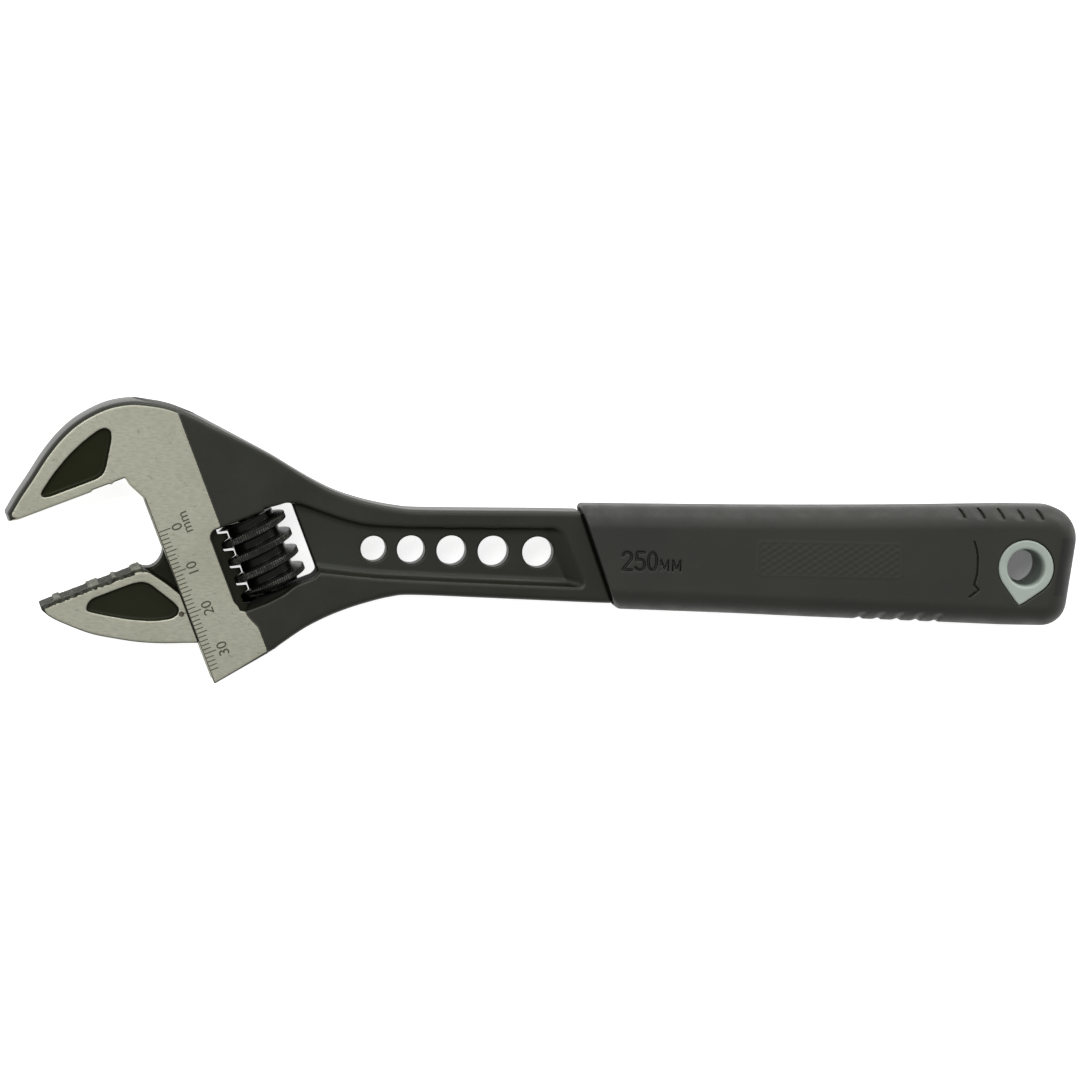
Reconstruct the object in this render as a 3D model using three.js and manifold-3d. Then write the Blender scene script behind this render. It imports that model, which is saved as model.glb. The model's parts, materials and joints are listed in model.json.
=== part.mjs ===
// Adjustable wrench, 250 mm size, lying flat on its side.
// Millimetres, +Z up. +X runs along the handle towards the hang hole, +Y towards the fixed jaw.
// The head is drawn in its own frame, turned by HEAD_ANGLE: its second axis is the closing
// direction of the jaw, and its first axis runs along the jaw faces towards the handle.

import * as THREE from 'three';
import { mergeVertices } from 'three/addons/utils/BufferGeometryUtils.js';
import Module from 'manifold-3d';

const wasm = await Module();
wasm.setup();

// ---- driving dimensions ----
const HEAD_ANGLE = THREE.MathUtils.degToRad(22);
const GAP = 0.3;                  // clearance between pieces that touch

const HEAD_HALF = 7.5;            // half thickness of the ground head and jaws
const SHOULDER_HALF = 7.0;        // half thickness where the as-forged surface starts
const SHANK_HALF = 5.5;           // half thickness of the shank flanges
const WEB_HALF = 2.75;            // half thickness of the shank web
const TANG_HALF = 4.5;            // half thickness of the tang inside the grip
const GRIP_HALF = 8.3;            // half thickness of the grip

const FIXED_FACE = 26.85;         // gripping face of the fixed jaw
const MOVING_FACE = 6.3;          // gripping face of the movable jaw at rest
const LAND_HEIGHT = 0.45;         // raised lands on the movable jaw's face
const JAW_TIP = -53;
const RAIL_WALL = -22;            // ground wall that the movable jaw slides along
const GROUND_EDGE = -7.9;         // where the ground face of the head ends

const RAIL_RADIUS = 5.2;
const RAIL_P = -11;               // centre line of the round rail
const RAIL_TOP = 11;
const RAIL_BOTTOM = -21.8;
const NECK_HALF = 3.4;
const CLOSING_TRAVEL = 20;
const BORE_TOP = RAIL_TOP + CLOSING_TRAVEL + 0.6;
const NECK_TOP = 9.2;

const WORM_P = -0.9;              // axis of the worm
const WORM_PITCH = 4.25;
const WORM_RADIUS = 8.1;
const WORM_ROOT = 5.7;
const WORM_BORE = 2.75;
const WORM_LOW = -9.1;
const WORM_HIGH = 8.1;
const WORM_CENTRE = (WORM_LOW + WORM_HIGH) / 2;
const CREST_WIDTH = 1.25;
const FLANK_WIDTH = 0.7;
const RACK_PLAY = 0.4;            // clearance on each flank, which also clears the worm's curve
const PIN_RADIUS = 2.4;
const PIN_HEAD_RADIUS = 3.3;
const PIN_HIGH = 13.4;
const PIN_LOW = -18.2;
const PIN_HEAD_LENGTH = 5;
const SPRING_RADIUS = 3.6;
const SPRING_WIRE = 0.4;
const SPRING_TURNS = 2.5;
const SPRING_POCKET = 3;

const WINDOW = { left: -10.9, right: 9.7, low: -10, high: 8.7, corner: 1.8 };
const WEB_HOLES = [
  { x: 25.1, radius: 2.98 },
  { x: 33.8, radius: 3.25 },
  { x: 43.2, radius: 3.45 },
  { x: 52.9, radius: 3.57 },
  { x: 63.3, radius: 3.6 },
];
const WEB_HOLE_Y = 0.5;

const GRIP_START = { top: 72.8, bottom: 81.1 };
const GRIP_END = 189.6;
const GRIP_EDGE_RADIUS = 5;
const COVER_WALL = 1.1;
const BUSH = { x: 177.2, y: -0.35, radius: 6.5, pointX: 175.8, pointY: -9.3 };
const HANG_HOLE_MOUTH = 4.45;
const HANG_HOLE_WAIST = 3.6;

const FAR = 40;                   // longer than any wall that a cutter passes through

// ---- solids ----
function solid(geometry) {
  const bare = geometry.index ? geometry.toNonIndexed() : geometry.clone();
  bare.deleteAttribute('normal');
  bare.deleteAttribute('uv');
  const merged = mergeVertices(bare, 1e-4);
  return new wasm.Manifold(new wasm.Mesh({
    numProp: 3,
    vertProperties: new Float32Array(merged.attributes.position.array),
    triVerts: new Uint32Array(merged.index.array),
  }));
}

function geometryOf(body) {
  const mesh = body.getMesh();
  const geometry = new THREE.BufferGeometry();
  geometry.setAttribute('position', new THREE.BufferAttribute(mesh.vertProperties, 3));
  geometry.setIndex(new THREE.BufferAttribute(mesh.triVerts, 1));
  const flat = geometry.toNonIndexed();
  flat.computeVertexNormals();
  return flat;
}

function joinAll(bodies) {
  return bodies.reduce((sum, next) => sum.add(next));
}

// ---- outlines ----
function points(pairs) {
  return pairs.map(([x, y]) => new THREE.Vector2(x, y));
}

function headPoint([p, q]) {
  return new THREE.Vector2(p, q).rotateAround(new THREE.Vector2(), HEAD_ANGLE);
}

function polygon(pairs) {
  return new THREE.Shape(points(pairs));
}

function roundedBox(left, right, low, high, corner) {
  const shape = new THREE.Shape();
  shape.absarc(right - corner, high - corner, corner, 0, Math.PI / 2);
  shape.absarc(left + corner, high - corner, corner, Math.PI / 2, Math.PI);
  shape.absarc(left + corner, low + corner, corner, Math.PI, 1.5 * Math.PI);
  shape.absarc(right - corner, low + corner, corner, 1.5 * Math.PI, 2 * Math.PI);
  return shape;
}

function circle(x, y, radius) {
  return new THREE.Shape().absarc(x, y, radius, 0, 2 * Math.PI);
}

// ---- prisms along Z, centred on the middle plane ----
function plate(shape, half, edge = 0, slope = edge, steps = 1, curveSegments = 6) {
  const geometry = new THREE.ExtrudeGeometry(shape, {
    depth: 2 * (half - slope),
    curveSegments,
    bevelEnabled: edge > 0,
    bevelSize: edge,
    bevelOffset: -edge,
    bevelThickness: slope,
    bevelSegments: steps,
  });
  return geometry.translate(0, 0, slope - half);
}

// A recess cutter whose floor is at `floor` and whose side walls slope out by `slope` up to `rim`.
function recessCutter(shape, floor, rim, slope) {
  const geometry = new THREE.ExtrudeGeometry(shape, {
    depth: FAR,
    curveSegments: 4,
    bevelEnabled: true,
    bevelSize: slope,
    bevelOffset: -slope,
    bevelThickness: rim - floor,
    bevelSegments: 1,
  });
  return geometry.translate(0, 0, rim);
}

function bothFaces(geometry) {
  const turned = geometry.clone().scale(1, 1, -1);
  const index = [];
  const count = turned.attributes.position.count;
  for (let i = 0; i < count; i += 3) {
    index.push(i, i + 2, i + 1);
  }
  turned.setIndex(index);
  return [solid(geometry), solid(turned)];
}

function inHead(geometry) {
  return geometry.rotateZ(HEAD_ANGLE);
}

// A round bar along the closing direction.
function bar(radius, p, low, high, sides = 32) {
  const geometry = new THREE.CylinderGeometry(radius, radius, high - low, sides);
  return geometry.translate(p, (low + high) / 2, 0);
}

function block(left, right, low, high, half) {
  const geometry = new THREE.BoxGeometry(right - left, high - low, 2 * half);
  return geometry.translate((left + right) / 2, (low + high) / 2, 0);
}

// ---- the forged body ----
const FIXED_JAW_BACK = [
  [-49.3, 32.2], [-45, 35.3], [-40, 39], [-34.9, 42],
  [-29.8, 43.85], [-23.7, 44.7], [-18.8, 44.2], [-14.2, 42.55],
];
const SHANK_TOP = [[-21.2, 32.7], [-10.3, 27.6], [0, 22.25], [5.1, 19.4], [10.1, 16.6], [15.1, 14.15],
  [20.1, 12.4], [25.1, 11.15], [30.1, 10.4], [35.1, 10.1]];
const SHANK_BOTTOM = [[34, -9.85], [29, -10.4], [24, -11.7], [19, -13.35], [14, -15.45],
  [9, -18.15], [4, -21.65]];
const HEAD_END = 26;              // the thick head blank ends here along X

function headOutline() {
  const shape = new THREE.Shape();
  const start = headPoint([JAW_TIP, FIXED_FACE - 4]);
  const tip = headPoint([JAW_TIP, 29.2]);
  shape.moveTo(start.x, start.y);
  shape.lineTo(tip.x, tip.y);
  shape.splineThru(FIXED_JAW_BACK.map(headPoint).concat(points(SHANK_TOP.slice(0, 7))));
  shape.lineTo(HEAD_END, 9);
  shape.lineTo(HEAD_END, -9);
  shape.lineTo(...SHANK_BOTTOM[2]);
  shape.splineThru(points(SHANK_BOTTOM.slice(3)).concat([headPoint([-6, -22.05])]));
  const heel = headPoint([RAIL_WALL, -24.65]);
  shape.lineTo(heel.x, heel.y);
  const throat = headPoint([RAIL_WALL, 20]);
  shape.lineTo(throat.x, throat.y);
  return shape;
}

function shankOutline() {
  const shape = new THREE.Shape();
  shape.moveTo(SHANK_TOP[3][0], 0);
  shape.lineTo(...SHANK_TOP[3]);
  shape.splineThru(points(SHANK_TOP.slice(4)));
  shape.lineTo(84, 10.4);
  shape.lineTo(84, -10.3);
  shape.lineTo(80.6, -10.85);
  shape.lineTo(...SHANK_BOTTOM[0]);
  shape.splineThru(points(SHANK_BOTTOM.slice(1, 6)));
  return shape;
}

// Side view of the head: ground faces, a small step, then the forged taper down to the shank.
function headProfile() {
  const taperEnd = 30;
  const upper = [[-70, HEAD_HALF], [GROUND_EDGE, HEAD_HALF], [GROUND_EDGE, SHOULDER_HALF],
    [taperEnd, SHANK_HALF - 0.6]];
  const lower = upper.map(([p, z]) => [p, -z]).reverse();
  const geometry = new THREE.ExtrudeGeometry(polygon(upper.concat(lower)), {
    depth: 140,
    bevelEnabled: false,
  });
  return inHead(geometry.rotateX(Math.PI / 2).translate(0, 70, 0));
}

// The open mouth in front of the rail wall and below the fixed jaw.
function mouth() {
  const step = [-32.7, FIXED_FACE];
  const shape = polygon([
    [-90, FIXED_FACE], step, [step[0] + 0.3, FIXED_FACE + 0.3], [-24.6, FIXED_FACE + 0.3],
    [-24.2, 25.6], [RAIL_WALL, 21], [RAIL_WALL, -60], [-90, -60],
  ]);
  return inHead(plate(shape, FAR));
}

const FIXED_POCKET = [[-43.7, 31.4], [-42.6, 29.9], [-30.2, 29.9], [-28.6, 30.7], [-24.2, 37.7],
  [-24.7, 39.2], [-25.8, 39.3], [-29.8, 38.1], [-34.8, 36.1], [-39.8, 33.3]];
const MOVING_POCKET = [[-43.2, 2.2], [-41.8, 3.5], [-31.2, 3.5], [-28.6, 2.8], [-24.2, -4.4],
  [-24.1, -5.8], [-25.7, -6.5], [-29.8, -5.4], [-34.8, -3.1], [-39.8, -0.1], [-42.8, 1.5]];
const POCKET_DEPTH = 1;

function pocketCutter(outline) {
  return recessCutter(polygon(outline), HEAD_HALF - POCKET_DEPTH, HEAD_HALF, 0.4);
}

const RECESS_SLOPE = 0.9;         // how far the recess walls lean in over their depth

function shankRecess() {
  const shape = new THREE.Shape();
  const upper = [[9, 10.4], [14, 8.7], [19, 7.2], [24, 6.3], [34, 6], [54, 6.2]];
  const lower = [[54, -6.8], [34, -6.3], [24, -5.9], [12.5, -4.9]];
  shape.moveTo(...headPoint([3, 9.1]).toArray());
  shape.lineTo(6.8, 11);
  shape.splineThru(points(upper));
  shape.lineTo(68, 6.4);
  shape.lineTo(70.3, 5);
  shape.lineTo(74.6, -4.6);
  shape.lineTo(72.4, -7.1);
  shape.lineTo(...lower[0]);
  shape.splineThru(points(lower.slice(1)));
  shape.lineTo(...headPoint([3, -9.5]).toArray());
  return bothFaces(recessCutter(shape, WEB_HALF, SHANK_HALF, RECESS_SLOPE));
}

function tang() {
  const outline = roundedBox(80, 184, -9, 9, 6);
  return solid(plate(outline, TANG_HALF, 0.8));
}

function wrenchBody() {
  const head = solid(plate(headOutline(), HEAD_HALF, 0.5, 0.5, 1, 2)).intersect(solid(headProfile()));
  const shank = solid(plate(shankOutline(), SHANK_HALF, 0.8, 1.2, 1, 3));
  const blank = joinAll([head, shank, tang()]);
  const slot = block(-24.4, RAIL_P, -60, NECK_TOP + CLOSING_TRAVEL + 0.6, NECK_HALF + GAP);
  const cutters = [
    solid(mouth()),
    ...bothFaces(inHead(pocketCutter(FIXED_POCKET))),
    ...shankRecess(),
    solid(inHead(bar(RAIL_RADIUS + GAP, RAIL_P, -60, BORE_TOP))),
    solid(inHead(slot)),
    solid(inHead(plate(roundedBox(WINDOW.left, WINDOW.right, WINDOW.low, WINDOW.high, WINDOW.corner), FAR))),
    solid(inHead(bar(PIN_RADIUS + GAP, WORM_P, PIN_LOW, PIN_HIGH + GAP, 20))),
    solid(inHead(bar(PIN_HEAD_RADIUS + GAP, WORM_P, -30, PIN_LOW + PIN_HEAD_LENGTH + GAP, 20))),
    solid(plate(circle(BUSH.x, BUSH.y, BUSH.radius + 0.6), FAR)),
    ...WEB_HOLES.map((hole) => solid(plate(circle(hole.x, WEB_HOLE_Y, hole.radius), FAR))),
  ];
  return cutters.reduce((body, cutter) => body.subtract(cutter), blank);
}

// ---- the movable jaw, drawn in the head's frame ----
function jawPlate() {
  const shape = new THREE.Shape();
  shape.moveTo(JAW_TIP, MOVING_FACE);
  shape.lineTo(JAW_TIP, 5.5);
  shape.splineThru(points([[-51.8, 3.4], [-49.7, 1.1], [-44.7, -3.4], [-39.7, -6.6], [-34.7, -9.4],
    [-29.7, -11.6], [-25, -13.3], [RAIL_WALL - GAP, -14.5]]));
  shape.lineTo(RAIL_WALL - GAP, -2.2);
  shape.lineTo(-26.2, 4.1);
  shape.lineTo(-27.2, 5.6);
  shape.lineTo(-28.2, MOVING_FACE);
  return solid(plate(shape, HEAD_HALF, 0, 0, 1, 2));
}

function jawLands() {
  const spans = [[-49.5, -48], [-41.2, -38.6], [-35.2, -34.4], [-30.5, -28.2]];
  const low = MOVING_FACE - 1;
  const high = MOVING_FACE + LAND_HEIGHT;
  return spans.map(([from, to]) => solid(block(from, to, low, high, HEAD_HALF)));
}

function neck() {
  const shape = new THREE.Shape();
  shape.moveTo(RAIL_P, RAIL_BOTTOM);
  shape.lineTo(RAIL_P, NECK_TOP);
  shape.lineTo(RAIL_WALL, NECK_TOP);
  shape.splineThru(points([[-22.6, 7.3], [-23.7, 6.3], [-24.8, 5.7], [-26, 5.5], [-28, 5.8]]));
  shape.lineTo(-28, -8);
  shape.lineTo(RAIL_WALL, -14.3);
  shape.lineTo(RAIL_WALL + 2, -17);
  shape.lineTo(RAIL_WALL + 2, RAIL_BOTTOM);
  return solid(plate(shape, NECK_HALF, 0, 0, 1, 2));
}

// Gaps between rack teeth, tilted to the worm's lead so that a round worm can run in them.
function rackGaps() {
  const tip = WORM_P - WORM_ROOT - GAP;
  const root = WORM_P - WORM_RADIUS - GAP;
  const halfCrest = CREST_WIDTH / 2 + RACK_PLAY;
  const halfRoot = halfCrest + FLANK_WIDTH;
  const over = 1;
  const slope = (halfRoot - halfCrest) / (tip - root);
  const lead = Math.atan(WORM_PITCH / (Math.PI * (WORM_RADIUS + WORM_ROOT)));
  const gaps = [];
  const lowest = Math.floor((RAIL_BOTTOM - WORM_CENTRE) / WORM_PITCH);
  const highest = Math.ceil((RAIL_TOP - WORM_CENTRE) / WORM_PITCH);
  for (let turn = lowest; turn <= highest; turn += 1) {
    const shape = polygon([
      [root, -halfCrest], [tip + over, -halfRoot - over * slope],
      [tip + over, halfRoot + over * slope], [root, halfCrest],
    ]);
    const centre = WORM_CENTRE + turn * WORM_PITCH;
    const gap = plate(shape, RAIL_RADIUS + 2).rotateX(lead).translate(0, centre, 0);
    gaps.push(solid(gap));
  }
  return gaps;
}

function movableJaw() {
  const rail = solid(bar(RAIL_RADIUS, RAIL_P, RAIL_BOTTOM, RAIL_TOP));
  const flat = WORM_P - WORM_ROOT - GAP;
  const trimmed = rail.subtract(solid(block(flat, flat + 10, -60, 60, 20)));
  const body = joinAll([jawPlate(), ...jawLands(), neck(), trimmed]);
  const cutters = [...bothFaces(pocketCutter(MOVING_POCKET)), ...rackGaps()];
  return cutters.reduce((rest, cutter) => rest.subtract(cutter), body);
}

// ---- the worm ----
// A right-handed trapezoidal thread about Y: rings of vertices climb one pitch per turn.
function threadedRod(low, high) {
  const sides = 36;
  const steps = [
    [WORM_ROOT, 0], [WORM_ROOT, WORM_PITCH - CREST_WIDTH - 2 * FLANK_WIDTH],
    [WORM_RADIUS, WORM_PITCH - CREST_WIDTH - FLANK_WIDTH], [WORM_RADIUS, WORM_PITCH - FLANK_WIDTH],
  ];
  const turns = Math.ceil((high - low) / WORM_PITCH) + 3;
  const rows = turns * steps.length;
  const start = WORM_CENTRE - (turns / 2) * WORM_PITCH - phaseShift();
  const position = [];
  const at = (side, row) => {
    const wrapped = side === sides ? [0, row + steps.length] : [side, row];
    const [radius, rise] = steps[wrapped[1] % steps.length];
    const turn = Math.floor(wrapped[1] / steps.length);
    const angle = (2 * Math.PI * wrapped[0]) / sides;
    const along = start + (turn + wrapped[0] / sides) * WORM_PITCH + rise;
    return [radius * Math.sin(angle), along, radius * Math.cos(angle)];
  };
  const triangle = (a, b, c) => position.push(...a, ...b, ...c);
  const bottom = [0, start - 1, 0];
  const top = [0, start + (turns + 1) * WORM_PITCH + 1, 0];
  for (let side = 0; side < sides; side += 1) {
    for (let row = 0; row < rows; row += 1) {
      triangle(at(side, row), at(side + 1, row), at(side + 1, row + 1));
      triangle(at(side, row), at(side + 1, row + 1), at(side, row + 1));
    }
    triangle(bottom, at(side + 1, 0), at(side, 0));
    triangle(top, at(side, rows), at(side + 1, rows));
  }
  for (let row = 0; row < steps.length; row += 1) {
    triangle(bottom, at(0, row), at(0, row + 1));
    triangle(top, at(0, rows + row + 1), at(0, rows + row));
  }
  const geometry = new THREE.BufferGeometry();
  geometry.setAttribute('position', new THREE.Float32BufferAttribute(position, 3));
  return geometry;
}

// Slides the thread so that a crest faces the middle of a rack gap on the rail side.
function phaseShift() {
  const crestMiddle = WORM_PITCH - FLANK_WIDTH - CREST_WIDTH / 2;
  const railSideTurn = 0.75;
  return (crestMiddle + railSideTurn * WORM_PITCH) % WORM_PITCH;
}

function worm() {
  const profile = [[0, WORM_LOW], [WORM_ROOT + 0.3, WORM_LOW], [WORM_RADIUS, WORM_LOW + 1.2],
    [WORM_RADIUS, WORM_HIGH - 1.2], [WORM_ROOT + 0.3, WORM_HIGH], [0, WORM_HIGH]];
  const envelope = new THREE.LatheGeometry(points(profile), 36);
  const bore = bar(WORM_BORE, 0, -20, 20, 20);
  const pocket = bar(SPRING_RADIUS + SPRING_WIRE + GAP, 0, -20, WORM_LOW + SPRING_POCKET, 24);
  const body = solid(threadedRod(WORM_LOW, WORM_HIGH)).intersect(solid(envelope));
  return body.subtract(solid(bore)).subtract(solid(pocket));
}

// ---- pin and spring ----
function wormPin() {
  const headTop = PIN_LOW + PIN_HEAD_LENGTH;
  const profile = [[0, PIN_LOW], [PIN_HEAD_RADIUS, PIN_LOW], [PIN_HEAD_RADIUS, headTop],
    [PIN_RADIUS, headTop], [PIN_RADIUS, PIN_HIGH - 0.6], [PIN_RADIUS - 0.6, PIN_HIGH], [0, PIN_HIGH]];
  const lathe = new THREE.LatheGeometry(points(profile), 24);
  const slot = new THREE.BoxGeometry(8, 2.4, 1).translate(0, PIN_LOW, 0);
  return solid(lathe).subtract(solid(slot));
}

class Coil extends THREE.Curve {
  constructor(radius, low, high, turns) {
    super();
    Object.assign(this, { radius, low, high, turns });
  }

  getPoint(t) {
    const angle = 2 * Math.PI * this.turns * t;
    const along = this.low + (this.high - this.low) * t;
    return new THREE.Vector3(this.radius * Math.sin(angle), along, this.radius * Math.cos(angle));
  }
}

function wormSpring() {
  const low = WINDOW.low + GAP + SPRING_WIRE;
  const high = WORM_LOW + SPRING_POCKET - GAP - SPRING_WIRE;
  const path = new Coil(SPRING_RADIUS - 0.2, low, high, SPRING_TURNS);
  const wire = new THREE.Shape();
  for (let side = 0; side < 6; side += 1) {
    const angle = (Math.PI * side) / 3;
    const place = [SPRING_WIRE * Math.cos(angle), SPRING_WIRE * Math.sin(angle)];
    if (side === 0) {
      wire.moveTo(...place);
    } else {
      wire.lineTo(...place);
    }
  }
  return solid(new THREE.ExtrudeGeometry(wire, { steps: 40, extrudePath: path }));
}

// ---- the grip ----
function gripOutline(inset) {
  const top = [[110, 12.35], [145, 13.1], [172, 13.9]];
  const bottom = [[172, -14.1], [145, -13.5], [125, -13.1], [110, -12.7], [60, -11.95]];
  const lean = THREE.MathUtils.degToRad(-7);
  const shape = new THREE.Shape();
  shape.moveTo(60, 11.75 - inset);
  top.forEach(([x, y]) => shape.lineTo(x, y - inset));
  shape.absarc(GRIP_END - 7.7, 6.3, 7.7 - inset, Math.PI / 2, lean, true);
  shape.absarc(GRIP_END - 7.8, -8.1, 6 - inset, lean, -Math.PI / 2, true);
  bottom.forEach(([x, y]) => shape.lineTo(x, y + inset));
  return shape;
}

// Keeps what lies behind the slanted front edge of the grip.
function behindFront(offset) {
  const lean = (GRIP_START.bottom - GRIP_START.top) / 22;
  const edge = (y) => GRIP_START.top + offset + lean * (11 - y);
  const shape = polygon([[edge(30), 30], [edge(-30), -30], [260, -30], [260, 30]]);
  return solid(plate(shape, FAR));
}

function gripShell(outer, half, edge, front) {
  return solid(plate(outer, half, edge, edge, 4, 8)).intersect(behindFront(front));
}

function teardrop(grow) {
  const shape = new THREE.Shape();
  const radius = BUSH.radius + grow;
  const away = new THREE.Vector2(BUSH.pointX - BUSH.x, BUSH.pointY - BUSH.y);
  const reach = away.length();
  const half = Math.acos(BUSH.radius / reach);
  const heading = away.angle();
  const tip = away.clone().setLength(reach + grow * (reach / BUSH.radius));
  shape.absarc(BUSH.x, BUSH.y, radius, heading + half, heading - half + 2 * Math.PI);
  shape.lineTo(BUSH.x + tip.x, BUSH.y + tip.y);
  return shape;
}

function gripCover() {
  const coreInset = COVER_WALL;
  const outer = gripShell(gripOutline(0), GRIP_HALF, GRIP_EDGE_RADIUS, 0);
  const inside = solid(plate(gripOutline(coreInset), GRIP_HALF - COVER_WALL, 4, 4, 2, 6));
  return outer.subtract(inside).subtract(solid(plate(teardrop(GAP), FAR, 0, 0, 1, 9)));
}

function gripCore() {
  const inset = COVER_WALL + GAP;
  const outer = gripShell(gripOutline(inset), GRIP_HALF - inset, 3.8, 0.6);
  const room = TANG_HALF + GAP;
  const tangRoom = solid(plate(roundedBox(40, 184.4, -9.3, 9.3, 6), room, 0.8));
  const collar = solid(plate(roundedBox(40, 84.4, -11, 11, 1), SHANK_HALF + GAP));
  return [tangRoom, collar, solid(plate(teardrop(GAP), FAR, 0, 0, 1, 9))]
    .reduce((rest, cutter) => rest.subtract(cutter), outer);
}

// A round barrel through the tang with a teardrop flange on each face.
function hangBush() {
  const half = GRIP_HALF - 0.1;
  const profile = [[0, -half - 1], [HANG_HOLE_MOUTH + 0.3, -half - 1], [HANG_HOLE_MOUTH, -half],
    [HANG_HOLE_WAIST, 0], [HANG_HOLE_MOUTH, half], [HANG_HOLE_MOUTH + 0.3, half + 1], [0, half + 1]];
  const hole = new THREE.LatheGeometry(points(profile), 28);
  hole.rotateX(Math.PI / 2).translate(BUSH.x, BUSH.y, 0);
  const flanges = solid(plate(teardrop(0), half, 0.3, 0.3, 1, 9))
    .subtract(solid(plate(roundedBox(160, 190, -15, 15, 2), TANG_HALF + GAP)));
  const barrel = solid(plate(circle(BUSH.x, BUSH.y, BUSH.radius - 0.1), half - 0.5));
  return flanges.add(barrel).subtract(solid(hole));
}

// ---- assembly ----
function material(color, roughness, metalness) {
  return new THREE.MeshStandardMaterial({ color, roughness, metalness });
}

const groundSteel = material(0xa8a996, 0.4, 1);
const blackSteel = material(0x2b2c28, 0.5, 0.8);
const springSteel = material(0x8a8a84, 0.35, 1);
const hardPlastic = material(0x9aa49c, 0.5, 0);
const softRubber = material(0x2c2e2a, 0.7, 0);

function piece(name, body, look) {
  const mesh = new THREE.Mesh(geometryOf(body), look);
  mesh.name = name;
  return mesh;
}

function headPieces() {
  const head = new THREE.Group();
  head.rotation.z = HEAD_ANGLE;
  const wormAxis = new THREE.Group();
  wormAxis.position.x = WORM_P;
  wormAxis.add(
    piece('adjusting_worm', worm(), blackSteel),
    piece('worm_pin', wormPin(), blackSteel),
    piece('worm_spring', wormSpring(), springSteel),
  );
  head.add(piece('movable_jaw', movableJaw(), groundSteel), wormAxis);
  return head;
}

const wrench = new THREE.Group();
wrench.name = 'adjustable_wrench';
wrench.add(
  piece('wrench_body', wrenchBody(), blackSteel),
  headPieces(),
  piece('grip_core', gripCore(), hardPlastic),
  piece('grip_cover', gripCover(), softRubber),
  piece('hang_bush', hangBush(), hardPlastic),
);

// The origin is the middle of the footprint, at the height of the surface it lies on.
wrench.updateMatrixWorld(true);
const extent = new THREE.Box3().setFromObject(wrench, true);
const middle = extent.getCenter(new THREE.Vector3());
wrench.position.set(-middle.x, -middle.y, -extent.min.z);

export default wrench;
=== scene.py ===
"""Adjustable wrench, lying flat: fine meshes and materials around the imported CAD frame.

Shapes are written in millimetres in the design frame of the wrench: X along the handle, Y towards
the fixed jaw, Z through the thickness with 0 in its middle. The head has its own axes (p, q), turned
by HEAD_ANGLE: q is the closing direction of the jaw.
"""

import json
import math

import bpy
import numpy as np
from mathutils import Matrix, Vector


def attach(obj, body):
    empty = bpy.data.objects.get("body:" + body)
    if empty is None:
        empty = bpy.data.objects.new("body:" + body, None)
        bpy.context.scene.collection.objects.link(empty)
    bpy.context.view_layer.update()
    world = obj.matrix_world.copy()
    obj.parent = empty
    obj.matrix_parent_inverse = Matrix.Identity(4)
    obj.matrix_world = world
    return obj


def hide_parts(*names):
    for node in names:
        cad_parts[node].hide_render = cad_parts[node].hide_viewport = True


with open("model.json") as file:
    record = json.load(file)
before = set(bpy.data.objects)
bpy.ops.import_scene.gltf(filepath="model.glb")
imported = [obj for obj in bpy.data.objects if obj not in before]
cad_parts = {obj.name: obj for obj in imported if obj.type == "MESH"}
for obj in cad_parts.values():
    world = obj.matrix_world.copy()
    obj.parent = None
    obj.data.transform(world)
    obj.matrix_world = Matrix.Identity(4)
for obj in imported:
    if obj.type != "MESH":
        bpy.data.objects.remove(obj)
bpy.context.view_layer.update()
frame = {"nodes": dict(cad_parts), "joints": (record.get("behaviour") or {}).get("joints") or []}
JOINTS = {joint["name"]: joint for joint in frame["joints"]}

# ---- driving dimensions, in millimetres ----
MM = 0.001
HEAD_ANGLE = math.radians(22)
HEAD_HALF = 7.5
SHOULDER_HALF = 7.05
SHANK_HALF = 5.5
WEB_HALF = 2.75
TANG_HALF = 4.5
GRIP_HALF = 8.3
FIXED_FACE = 26.85
MOVING_FACE = 6.3
LAND_HEIGHT = 0.45
POCKET_DEPTH = 1.0
JAW_TIP = -53.0
RAIL_WALL = -22.0
GROUND_EDGE = -7.9
RAIL_P = -11.0
RAIL_RADIUS = 5.2
RAIL_TOP = 11.0
RAIL_BOTTOM = -21.8
NECK_HALF = 3.4
NECK_TOP = 9.2
BORE_TOP = 31.6
GAP = 0.3
SLIDE_GAP = 0.07
WORM_P = -0.9
WORM_LOW = -9.1
WORM_HIGH = 8.1
WORM_CENTRE = (WORM_LOW + WORM_HIGH) / 2
WORM_PITCH = 4.25
WORM_RADIUS = 8.1
WORM_ROOT = 5.7
WORM_BORE = 2.75
KNURLS = 88  # ridges around the worm's crests
CREST_WIDTH = 1.25
FLANK_WIDTH = 0.7
RACK_ROOM = 0.1  # beside and beyond the thread, in the rack's gaps
RACK_PLAY = 0.2  # further room, below the thread only
WINDOW = (-10.9, 9.5, -9.9, 8.55, 1.8)  # left, right, low, high, corner radius
WEB_HOLES = ((25.1, 2.98), (33.8, 3.25), (43.2, 3.45), (52.9, 3.57), (63.3, 3.6))
WEB_HOLE_Y = 0.5
GRIP_TOP_START = 72.8
GRIP_BOTTOM_START = 81.1
GRIP_END = 189.6
BUSH = (177.2, -0.35, 6.5)  # x, y, radius
BUSH_POINT = (175.8, -9.3)
HANG_MOUTH = 4.45
HANG_WAIST = 3.6
OVAL = (-24.1, 33.6, 7.1, 6.7)  # x, y, half length, half width
PIN_RADIUS = 2.4
PIN_HEAD_RADIUS = 3.25
PIN_LOW = -18.2
PIN_HIGH = 13.4
PIN_HEAD_LENGTH = 5.0
SPRING_POCKET = 3.0  # depth of the spring's seat in the worm's end
SPRING_SEAT_RADIUS = 4.3
SPRING_RADIUS = 3.4
SPRING_WIRE = 0.38
SPRING_TURNS = 2.5
MARK_SUNK = 0.06  # how deep and how proud the printed marks lie
MARK_PROUD = 0.012
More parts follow.
